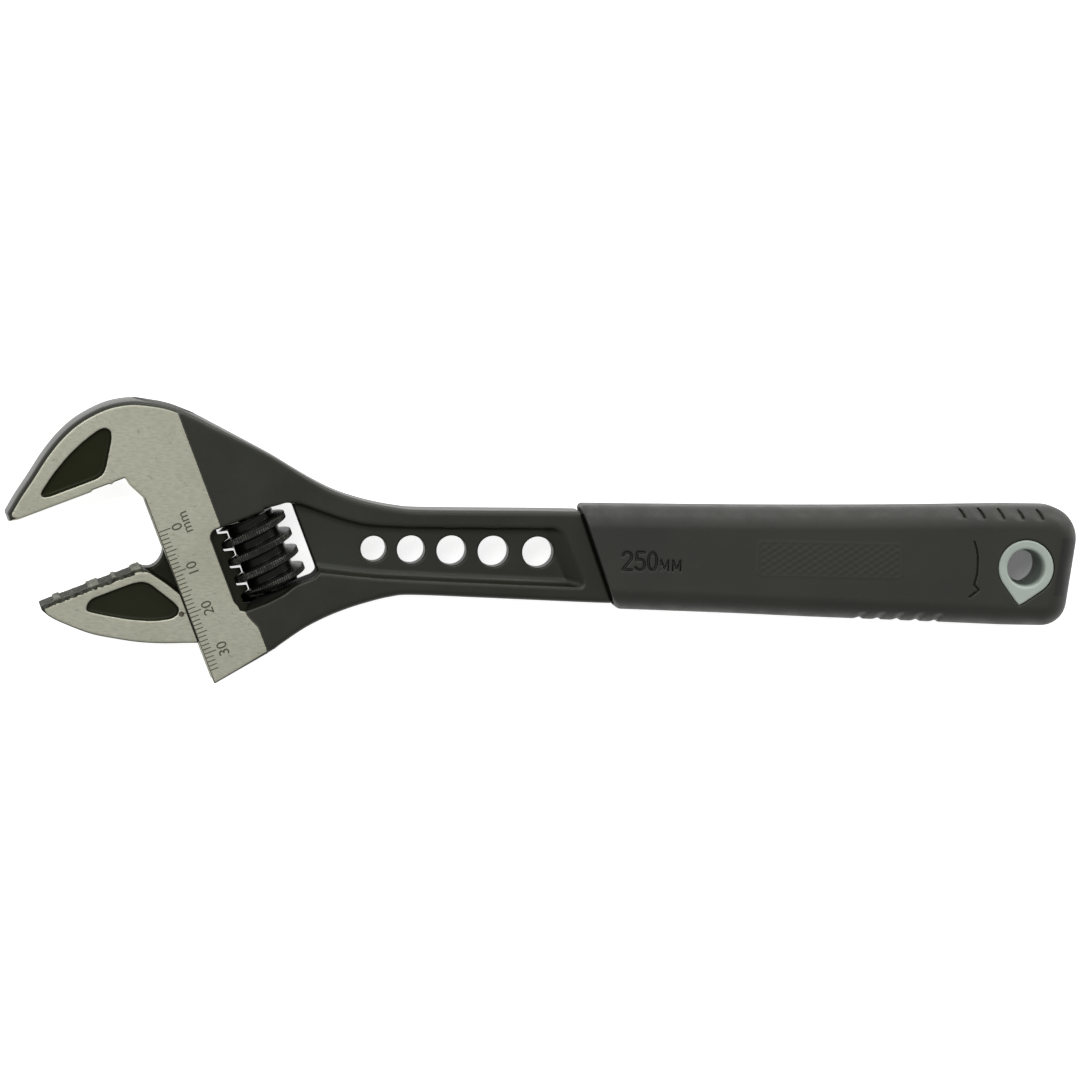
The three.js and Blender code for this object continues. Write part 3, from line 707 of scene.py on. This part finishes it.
# ---- the hang-hole bush ----
def make_bush():
    """The teardrop bush: two flanges, a barrel and a waisted hole."""
    g = Grid((169, -11, -9), (186, 8, 9), 0.2)
    half = GRIP_HALF - 0.1
    flange = both(teardrop(g.x, g.y), np.abs(g.z) - half, 0.35)
    flange = np.maximum(flange, TANG_HALF + GAP - np.abs(g.z))
    off = np.hypot(g.x - BUSH[0], g.y - BUSH[1])
    barrel = np.maximum(off - BUSH[2] + 0.1, np.abs(g.z) - half + 0.6)
    mouth = HANG_WAIST + (HANG_MOUTH - HANG_WAIST) * np.abs(g.z) / half
    field = cut(either(flange, barrel, 0.1), off - mouth, 0.5)
    return build_mesh("hang_hole_bush", *surface(field, g))


# ---- marks on the ground faces ----
def flat_bars(name, bars, top):
    """Thin inlaid bars, each (p0, p1, q0, q1), just proud of a ground face."""
    verts, faces = [], []
    for p0, p1, q0, q1 in bars:
        base = len(verts)
        for z in (top - MARK_SUNK, top + MARK_PROUD):
            verts += [(p0, q0, z), (p1, q0, z), (p1, q1, z), (p0, q1, z)]
        quads = [(0, 3, 2, 1), (4, 5, 6, 7), (0, 1, 5, 4), (1, 2, 6, 5), (2, 3, 7, 6), (3, 0, 4, 7)]
        faces += [tuple(base + i for i in quad) for quad in quads]
    return build_mesh(name, verts, faces, in_head=True, smooth=False)


def disc(name, p, q, radius, sides=32):
    """A thin round inlay in the near ground face."""
    verts = [(p + radius * math.cos(a), q + radius * math.sin(a), z)
             for z in (HEAD_HALF - MARK_SUNK, HEAD_HALF + MARK_PROUD)
             for a in np.linspace(0, 2 * math.pi, sides, endpoint=False)]
    faces = [tuple(range(sides))[::-1], tuple(range(sides, 2 * sides))]
    faces += [(i, (i + 1) % sides, sides + (i + 1) % sides, sides + i) for i in range(sides)]
    return build_mesh(name, verts, faces, in_head=True, smooth=False)


def scale_bars():
    """The millimetre scale's lines: long at each ten, medium at each five."""
    bars = []
    for mark in range(SCALE_LENGTH + 1):
        reach = 2.9 if mark % 10 == 0 else 2.5 if mark % 5 == 0 else 1.9
        q = SCALE_ZERO - mark
        bars.append((RAIL_WALL + 0.3, RAIL_WALL + 0.3 + reach, q - 0.12, q + 0.12))
    return bars


def figure(name, text, p, q, size):
    """Etched lettering that reads towards the closing direction."""
    data = bpy.data.curves.new(name, "FONT")
    data.body = text
    data.size = size * MM
    data.align_x = "CENTER"
    data.align_y = "CENTER"
    data.extrude = 0.03 * MM
    data.offset = 0.006 * MM * size
    obj = bpy.data.objects.new(name, data)
    bpy.context.scene.collection.objects.link(obj)
    x, y = head_point(p, q)
    place = FRAME_ORIGIN + MM * Vector((x, y, HEAD_HALF - 0.018))
    turn = Matrix.Rotation(HEAD_ANGLE + math.pi / 2, 4, "Z")
    bpy.context.view_layer.update()
    evaluated = obj.evaluated_get(bpy.context.evaluated_depsgraph_get())
    mesh = bpy.data.meshes.new_from_object(evaluated)
    corners = np.array([v.co for v in mesh.vertices])
    middle = Vector((corners.min(0) + corners.max(0)) / 2)
    mesh.transform(Matrix.Translation(place) @ turn @ Matrix.Translation(-middle))
    bpy.data.objects.remove(obj)
    made = bpy.data.objects.new(name, mesh)
    bpy.context.scene.collection.objects.link(made)
    return made


# ---- materials ----
class Nodes:
    """A short way to write a node tree."""

    def __init__(self, name):
        self.material = bpy.data.materials.new(name)
        self.material.use_nodes = True
        self.tree = self.material.node_tree
        self.shader = self.tree.nodes["Principled BSDF"]
        coordinates = self.add("ShaderNodeTexCoord")
        self.place = coordinates.outputs["Object"]

    def add(self, kind, **settings):
        node = self.tree.nodes.new(kind)
        for key, value in settings.items():
            setattr(node, key, value)
        return node

    def link(self, source, target):
        self.tree.links.new(source, target)

    def put(self, socket, value):
        if hasattr(value, "is_linked"):
            self.link(value, socket)
        else:
            socket.default_value = value

    def maths(self, operation, a, b=0.0, c=0.0):
        node = self.add("ShaderNodeMath", operation=operation)
        for socket, value in zip(node.inputs, (a, b, c)):
            self.put(socket, value)
        return node.outputs[0]

    def ramp(self, value, low, high, start=0.0, end=1.0):
        node = self.add("ShaderNodeMapRange", interpolation_type="SMOOTHSTEP")
        for socket, v in zip(node.inputs, (value, low, high, start, end)):
            self.put(socket, v)
        return node.outputs[0]

    def plus(self, a, b):
        return self.maths("ADD", a, b)

    def minus(self, a, b):
        return self.maths("SUBTRACT", a, b)

    def times(self, *values):
        """The product of two or more values."""
        product = values[0]
        for value in values[1:]:
            product = self.maths("MULTIPLY", product, value)
        return product

    def noise(self, scale, detail=3.0, rough=0.55, stretch=(1, 1, 1), turn=0.0):
        mapping = self.add("ShaderNodeMapping", vector_type="POINT")
        self.link(self.place, mapping.inputs["Vector"])
        mapping.inputs["Rotation"].default_value = (0, 0, turn)
        mapping.inputs["Scale"].default_value = stretch
        node = self.add("ShaderNodeTexNoise")
        self.link(mapping.outputs[0], node.inputs["Vector"])
        node.inputs["Scale"].default_value = scale
        node.inputs["Detail"].default_value = detail
        node.inputs["Roughness"].default_value = rough
        return node.outputs["Fac"]

    def mix(self, factor, a, b):
        node = self.add("ShaderNodeMix", data_type="RGBA")
        self.put(node.inputs[0], factor)
        self.put(node.inputs[6], a)
        self.put(node.inputs[7], b)
        return node.outputs[2]

    def bump(self, height, distance, strength=1.0, after=None):
        node = self.add("ShaderNodeBump")
        node.inputs["Strength"].default_value = strength
        node.inputs["Distance"].default_value = distance
        self.link(height, node.inputs["Height"])
        if after is not None:
            self.link(after, node.inputs["Normal"])
        return node.outputs["Normal"]

    def head_axes(self):
        """Object coordinates in the head's axes, in millimetres, as three sockets."""
        mapping = self.add("ShaderNodeMapping", vector_type="POINT")
        scale = 1 / MM
        place = Matrix.Rotation(-HEAD_ANGLE, 3, "Z") @ FRAME_ORIGIN
        mapping.inputs["Location"].default_value = tuple(-scale * v for v in place)
        mapping.inputs["Rotation"].default_value = (0, 0, -HEAD_ANGLE)
        mapping.inputs["Scale"].default_value = (scale, scale, scale)
        self.link(self.place, mapping.inputs["Vector"])
        parts = self.add("ShaderNodeSeparateXYZ")
        self.link(mapping.outputs[0], parts.inputs[0])
        return parts.outputs

    def finish(self, color, roughness, metallic, normal=None, **constants):
        self.put(self.shader.inputs["Base Color"], color)
        self.put(self.shader.inputs["Roughness"], roughness)
        self.put(self.shader.inputs["Metallic"], metallic)
        if normal is not None:
            self.link(normal, self.shader.inputs["Normal"])
        for key, value in constants.items():
            self.shader.inputs[key.replace("_", " ")].default_value = value
        return self.material


def linear(r, g, b):
    """A display colour as a linear shader colour."""
    return tuple(((c / 255 + 0.055) / 1.055) ** 2.4 for c in (r, g, b)) + (1.0,)


def steel_look(n):
    """Colour, roughness and height of a ground steel face: fine grain along the jaw, faint stains."""
    grain = n.noise(2600, 4, 0.6, (0.25, 1, 1))
    broad = n.noise(70, 3)
    speck = n.ramp(n.noise(900, 1, 0.4), 0.68, 0.76)
    shade = n.mix(n.ramp(grain, 0.3, 0.7), linear(168, 168, 152), linear(180, 180, 164))
    shade = n.mix(n.times(n.ramp(broad, 0.45, 0.7), 0.35), shade, linear(158, 159, 141))
    shade = n.mix(n.times(speck, 0.35), shade, linear(118, 118, 102))
    rough = n.ramp(grain, 0.3, 0.7, 0.42, 0.5)
    return shade, rough, grain


def black_look(n):
    """Colour, roughness and height of a phosphated forging: even, very finely grained."""
    fine = n.noise(2600, 3, 0.6)
    broad = n.noise(55, 4)
    shade = n.mix(n.ramp(broad, 0.3, 0.7), linear(26, 27, 17), linear(33, 35, 24))
    shade = n.mix(n.times(n.ramp(fine, 0.55, 0.75), 0.4), shade, linear(48, 50, 38))
    rough = n.ramp(broad, 0.3, 0.7, 0.4, 0.48)
    return shade, rough, fine


def blend_parts(n, mask, over, under):
    """Colour, roughness and metal of ground steel where the mask is 1 and black finish elsewhere."""
    color = n.mix(mask, under[0], over[0])
    rough = n.plus(n.times(mask, over[1]),
                    n.times(n.minus(1.0, mask), under[1]))
    metallic = n.plus(n.times(mask, STEEL_METAL),
                       n.times(n.minus(1.0, mask), BLACK_METAL))
    return color, rough, metallic


def blend_looks(n, mask, over, under):
    """A material of ground steel where the mask is 1 and black finish elsewhere."""
    color, rough, metallic = blend_parts(n, mask, over, under)
    normal = n.bump(under[2], 0.00002, 0.6)
    return n.finish(color, rough, metallic, n.bump(over[2], 0.000006, 0.5, normal))


def forging_material():
    """Black forging, ground on the head, with painted shade in the window and the seam, and a darkened oval
    with painted shade at its ends.
    """
    n = Nodes("black_forging_ground_face")
    p, q, z = n.head_axes()
    wobble = n.times(n.minus(n.noise(450, 2), 0.5), 0.7)
    side = n.plus(p, wobble)
    deep = n.maths("ABSOLUTE", z)
    face = n.ramp(deep, HEAD_HALF - 0.08, HEAD_HALF - 0.02)
    edge = n.ramp(side, GROUND_EDGE - 0.02, GROUND_EDGE + 0.08, 1.0, 0.0)
    rail = n.ramp(p, RAIL_WALL + 0.12, RAIL_WALL + 0.02)
    low_wall = n.ramp(q, FIXED_FACE - 0.4, FIXED_FACE - 0.6)
    grip_face = n.times(n.ramp(q, FIXED_FACE + 0.45, FIXED_FACE + 0.38),
                        n.ramp(p, RAIL_WALL - 1, RAIL_WALL - 1.2))
    walls = n.maths("MAXIMUM", n.times(rail, low_wall), grip_face)
    mask = n.maths("MAXIMUM", n.times(face, edge), walls)
    over, under = steel_look(n), black_look(n)
    # Painted shade in the window: surfaces darken the deeper they lie below the face, down its walls and into
    # the scoop.
    left, right, low, high, _ = WINDOW
    beside = n.times(n.ramp(p, left - 1.5, left - 0.5), n.ramp(p, right + 0.35, right + 0.15))
    within = n.times(n.ramp(q, low - 2.5, low - 1), n.ramp(q, high + 0.35, high + 0.15))
    below = n.plus(deep, n.times(n.minus(p, GROUND_EDGE), HEAD_TAPER))
    inner = n.ramp(below, SHOULDER_HALF - 0.35, SHOULDER_HALF - 2.2)
    window = n.times(beside, within, inner)
    # Painted shade in the seam's gap, where the forging runs under the grip's front edge.
    ahead = n.plus(n.times(p, COS + GRIP_LEAN * SIN), n.times(q, GRIP_LEAN * COS - SIN))
    seam = n.ramp(ahead, front_line(0, -0.55), front_line(0, -0.4))
    # The oval darkened, most at its steep ends, which get painted shade.
    along = n.plus(n.times(p, COS), n.times(q, -SIN))
    near_oval = n.maths("POWER", n.times(n.minus(along, OVAL[0]), 1 / OVAL[2]), 2)
    across_oval = n.maths("POWER", n.times(z, 1 / OVAL[3]), 2)
    oval = n.ramp(n.plus(near_oval, across_oval), 1.08, 0.98)
    oval = n.times(oval, n.ramp(q, 33.0, 34.0), n.ramp(near_oval, 0.0, 0.8, 0.45, 0.95))
    dark = n.maths("MAXIMUM", n.maths("MAXIMUM", window, seam), oval)
    floor = pocket_floor(n, p, deep)
    shade = pocket_shade(n, floor, under[0])
    # The painted shade of the window, seam and oval: a near-black colour and a weaker specular reflection.
    shade = n.mix(n.times(dark, 0.85), shade, linear(6, 6, 5))
    dull = n.times(n.maths("MAXIMUM", dark, floor), 0.4)
    n.put(n.shader.inputs["Specular IOR Level"], n.minus(0.5, dull))
    rough = n.plus(under[1], n.times(dark, 0.3))
    return blend_looks(n, mask, over, (shade, rough, under[2]))


def pocket_floor(n, p, deep):
    """Where the floors of the head's pockets are."""
    floor = n.times(n.ramp(deep, 6.95, 6.6), n.ramp(deep, 5.9, 6.2))
    return n.times(floor, n.ramp(p, RAIL_WALL - 0.8, RAIL_WALL - 1.6))


def pocket_shade(n, floor, color):
    """The colour, turned to olive on the pockets' floors."""
    return n.mix(n.times(floor, 0.8), color, linear(31, 33, 16))


def jaw_material():
    """Ground faces over a black forging, with the worn strip along the jaw's grip and a painted highlight on
    its raised lands.
    """
    n = Nodes("jaw_ground_face")
    p, q, z = n.head_axes()
    deep = n.maths("ABSOLUTE", z)
    torn = n.times(n.minus(n.noise(900, 3), 0.42), n.ramp(q, MOVING_FACE - 1, MOVING_FACE - 0.3))
    face = n.ramp(n.minus(deep, n.maths("MAXIMUM", torn, 0.0)), HEAD_HALF - 0.08, HEAD_HALF - 0.02)
    under = black_look(n)
    floor = pocket_floor(n, p, deep)
    under = (pocket_shade(n, floor, under[0]), under[1], under[2])
    color, rough, metallic = blend_parts(n, face, steel_look(n), under)
    strip = n.times(n.ramp(q, MOVING_FACE - 1.6, MOVING_FACE - 1.2), n.ramp(p, -27.8, -28.4),
                    n.minus(1.0, face))
    wear = n.noise(700, 4, 0.65)
    # The raised lands are painted brighter by their height: worn patches from the noise, and a painted
    # highlight.
    height = n.ramp(q, MOVING_FACE - 0.05, MOVING_FACE + LAND_HEIGHT - 0.05)
    dark = n.mix(n.ramp(wear, 0.4, 0.65), linear(38, 39, 33), linear(76, 78, 68))
    land_wear_and_highlight = n.mix(n.ramp(wear, 0.35, 0.6), linear(86, 87, 79), linear(150, 151, 140))
    color = n.mix(strip, color, n.mix(n.times(height, 0.75), dark, land_wear_and_highlight))
    metallic = n.maths("MAXIMUM", metallic, n.times(strip, 0.3))
    rough = n.plus(rough, n.times(strip, 0.3))
    n.put(n.shader.inputs["Specular IOR Level"], n.plus(n.times(face, 0.35), 0.15))
    normal = n.bump(n.times(wear, n.plus(strip, 0.05)), 0.00025, 0.9)
    return n.finish(color, rough, metallic, normal)


def worm_material():
    """Black oxide, with painted glints on the knurled crests and painted shade between the threads."""
    n = Nodes("worm_black_oxide")
    fine = n.noise(2200, 3)
    broad = n.noise(160, 3)
    color = n.mix(n.ramp(broad, 0.35, 0.7), linear(30, 30, 27), linear(48, 48, 44))
    p, _, z = n.head_axes()
    off = n.minus(p, WORM_P)
    radius = n.maths("SQRT", n.plus(n.times(off, off), n.times(z, z)))
    # Painted glints: paler colour on the knurled crests, in patches.
    top = n.times(n.ramp(radius, WORM_RADIUS - 0.14, WORM_RADIUS - 0.04), n.ramp(fine, 0.35, 0.6))
    color = n.mix(n.times(n.ramp(fine, 0.6, 0.72), 0.6), color, linear(96, 95, 89))
    top = n.times(top, n.ramp(n.noise(330, 2), 0.4, 0.6))
    color = n.mix(n.times(top, 0.8), color, linear(104, 103, 97))
    # Painted shade in the grooves between the threads.
    root_shade = n.ramp(radius, WORM_ROOT + 1.3, WORM_ROOT + 0.2)
    color = n.mix(n.times(root_shade, 0.8), color, linear(8, 8, 7))
    rough = n.ramp(broad, 0.3, 0.7, 0.26, 0.36)
    return n.finish(color, rough, 0.6, n.bump(fine, 0.00002, 0.5))


def rubber_material():
    """Matt rubber with faint dust, darker in the debossed marks."""
    n = Nodes("grip_rubber")
    fine = n.noise(3200, 2, 0.5)
    dust = n.noise(260, 5, 0.65)
    broad = n.noise(28, 3)
    color = n.mix(n.ramp(broad, 0.35, 0.68), linear(23, 25, 17), linear(31, 33, 24))
    color = n.mix(n.times(n.ramp(dust, 0.62, 0.78), 0.25), color, linear(58, 60, 50))
    p, q, z = n.head_axes()
    across = n.maths("ABSOLUTE", n.plus(n.times(p, SIN), n.times(q, COS)))
    sunk = n.times(n.ramp(z, GRIP_HALF - 0.15, GRIP_HALF - 0.3), n.ramp(across, 7.0, 6.6))
    color = n.mix(n.times(sunk, n.ramp(z, 0, 4), 0.8), color, linear(8, 9, 6))
    rough = n.ramp(dust, 0.3, 0.7, 0.5, 0.62)
    return n.finish(color, rough, 0.0, n.bump(fine, 0.00003, 0.5))


def plastic_material(name, low, high, rough):
    n = Nodes(name)
    broad = n.noise(90, 4)
    fine = n.noise(1800, 2)
    color = n.mix(n.ramp(broad, 0.3, 0.7), linear(*low), linear(*high))
    roughness = n.ramp(fine, 0.3, 0.7, rough - 0.05, rough + 0.05)
    return n.finish(color, roughness, 0.0, n.bump(fine, 0.00002, 0.35))


def bush_material():
    """Grey-green plastic, with painted shade inside the hang hole."""
    n = Nodes("bush_plastic")
    broad = n.noise(90, 4)
    fine = n.noise(1800, 2)
    color = n.mix(n.ramp(broad, 0.3, 0.7), linear(150, 160, 151), linear(162, 171, 162))
    p, q, z = n.head_axes()
    across = n.minus(p, BUSH[0] * COS + BUSH[1] * SIN)
    along = n.minus(q, BUSH[1] * COS - BUSH[0] * SIN)
    off = n.maths("SQRT", n.plus(n.times(across, across), n.times(along, along)))
    # Painted shade inside the hang hole, deepening away from its mouths.
    depth = n.ramp(n.maths("ABSOLUTE", z), GRIP_HALF - 0.7, GRIP_HALF - 4)
    shaded = n.times(n.ramp(off, HANG_MOUTH + 0.4, HANG_MOUTH - 0.1), depth)
    color = n.mix(n.times(shaded, 0.75), color, linear(52, 62, 55))
    return n.finish(color, n.ramp(fine, 0.3, 0.7, 0.45, 0.55), 0.0, n.bump(fine, 0.00002, 0.35))


def bare_metal_material(name, low, high, rough):
    n = Nodes(name)
    fine = n.noise(1600, 3)
    color = n.mix(n.ramp(fine, 0.35, 0.65), linear(*low), linear(*high))
    roughness = n.ramp(fine, 0.3, 0.7, rough - 0.06, rough + 0.06)
    return n.finish(color, roughness, 0.9, n.bump(fine, 0.00001, 0.5))


def ink_material():
    """The dark fill of the engraved marks."""
    n = Nodes("etched_mark")
    fine = n.noise(4200, 2)
    color = n.mix(n.ramp(fine, 0.4, 0.65), linear(58, 54, 42), linear(86, 82, 66))
    return n.finish(color, n.ramp(fine, 0.3, 0.7, 0.6, 0.7), 0.1)


# ---- camera, floor and light ----
def camera_axes():
    """The camera's right and up axes and the direction towards it."""
    lean_x, lean_y, roll = (math.radians(angle) for angle in CAMERA_LEAN)
    towards = Vector((-math.tan(lean_x), math.tan(lean_y), 1)).normalized()
    right = Vector((1, 0, 0))
    right = (right - right.dot(towards) * towards).normalized()
    up = towards.cross(right)
    turned = right * math.cos(roll) + up * math.sin(roll)
    return turned, towards.cross(turned), towards


def add_camera():
    aim = FRAME_ORIGIN + MM * Vector(CAMERA_AIM)
    right, up, towards = camera_axes()
    data = bpy.data.cameras.new("camera")
    data.lens = CAMERA_LENS
    data.sensor_width = 36
    data.clip_end = 20
    obj = bpy.data.objects.new("camera", data)
    turn = Matrix((right, up, towards)).transposed().to_4x4()
    obj.matrix_world = Matrix.Translation(aim + towards * CAMERA_DISTANCE) @ turn
    bpy.context.scene.collection.objects.link(obj)
    bpy.context.scene.camera = obj


def add_light(name, place, aim, size, power):
    data = bpy.data.lights.new(name, "AREA")
    data.shape = "RECTANGLE"
    data.size, data.size_y = size
    data.energy = power
    obj = bpy.data.objects.new(name, data)
    obj.location = place
    obj.rotation_mode = "QUATERNION"
    obj.rotation_quaternion = (Vector(aim) - Vector(place)).to_track_quat("-Z", "Y")
    bpy.context.scene.collection.objects.link(obj)


def add_stage():
    """A pale floor with a painted shadow under the hang hole, white surroundings and two soft lights."""
    mesh = bpy.data.meshes.new("floor")
    reach = 3.0
    mesh.from_pydata([(-reach, -reach, 0), (reach, -reach, 0), (reach, reach, 0), (-reach, reach, 0)],
                     [], [(0, 1, 2, 3)])
    floor = bpy.data.objects.new("floor", mesh)
    bpy.context.scene.collection.objects.link(floor)
    n = Nodes("floor_pale")
    # Painted shadow: the floor glows less in a small spot seen through the hang hole.
    hole = FRAME_ORIGIN + MM * Vector((BUSH[0] + 1.0, BUSH[1] - 0.7, 0))
    gap = n.add("ShaderNodeVectorMath", operation="DISTANCE")
    n.link(n.place, gap.inputs[0])
    gap.inputs[1].default_value = (hole.x, hole.y, 0)
    n.put(n.shader.inputs["Emission Strength"], n.ramp(gap.outputs["Value"], 0.006, 0.008, 0.1, 0.75))
    n.shader.inputs["Emission Color"].default_value = (1, 1, 1, 1)
    floor.data.materials.append(n.finish((0.86, 0.86, 0.86, 1), 0.9, 0.0))
    world = bpy.data.worlds.new("studio")
    world.use_nodes = True
    world.node_tree.nodes["Background"].inputs["Color"].default_value = (1, 1, 1, 1)
    world.node_tree.nodes["Background"].inputs["Strength"].default_value = 0.5
    bpy.context.scene.world = world
    bpy.context.scene.view_settings.view_transform = "Standard"
    add_light("soft_top", (-0.4, 0.6, 1.2), (0, 0, 0), (0.9, 0.6), 9)
    add_light("soft_back", (0.65, 1.2, 0.4), (0, 0, 0), (1.8, 0.4), 14)


# ---- the assembly ----
STEP_BODY = 0.28
STEP_JAW = 0.22
STEP_GRIP = 0.26


def add_marks():
    """The scale and its figures on the head, and the pointer on the jaw."""
    ink = ink_material()
    mount(flat_bars("scale_marks", scale_bars(), HEAD_HALF), ink, "frame", "black_forging")
    for mark in (0, 10, 20, 30):
        made = figure(f"scale_figure_{mark}", str(mark), -17.35, SCALE_ZERO - mark - 0.2, 3.4)
        mount(made, ink, "frame", "black_forging")
    mount(figure("scale_unit", "mm", -14.9, 12.8, 3.4), ink, "frame", "black_forging")
    mount(flat_bars("jaw_pointer_line", [(-23.2, RAIL_WALL - SLIDE_GAP, -6.85, -6.67)], HEAD_HALF),
          ink, "jaw", "ground_steel")
    mount(disc("jaw_pointer_dot", -23.4, -6.75, 0.65), ink, "jaw", "ground_steel")


def main():
    mount(make_body(), forging_material(), "frame", "black_forging", "wrench_body")
    mount(make_jaw(), jaw_material(), "jaw", "ground_steel", "movable_jaw")
    mount(make_worm(), worm_material(), "worm", "black_worm", "adjusting_worm")
    mount(make_pin(), bare_metal_material("pin_steel", (60, 60, 56), (84, 84, 78), 0.4),
          "frame", "pin_steel", "worm_pin")
    mount(make_spring(), bare_metal_material("spring_steel", (150, 150, 146), (178, 178, 172), 0.3),
          "frame", "spring_steel", "worm_spring")
    mount(make_grip(), rubber_material(), "frame", "grip_rubber", "grip_cover")
    mount(make_bush(), bush_material(), "frame", "bush_plastic", "hang_bush")
    core = frame["nodes"]["grip_core"]
    core.data.materials.clear()
    core.data.materials.append(plastic_material("grip_core_plastic", (70, 70, 66), (84, 84, 80), 0.55))
    add_marks()
    add_stage()
    add_camera()


main()
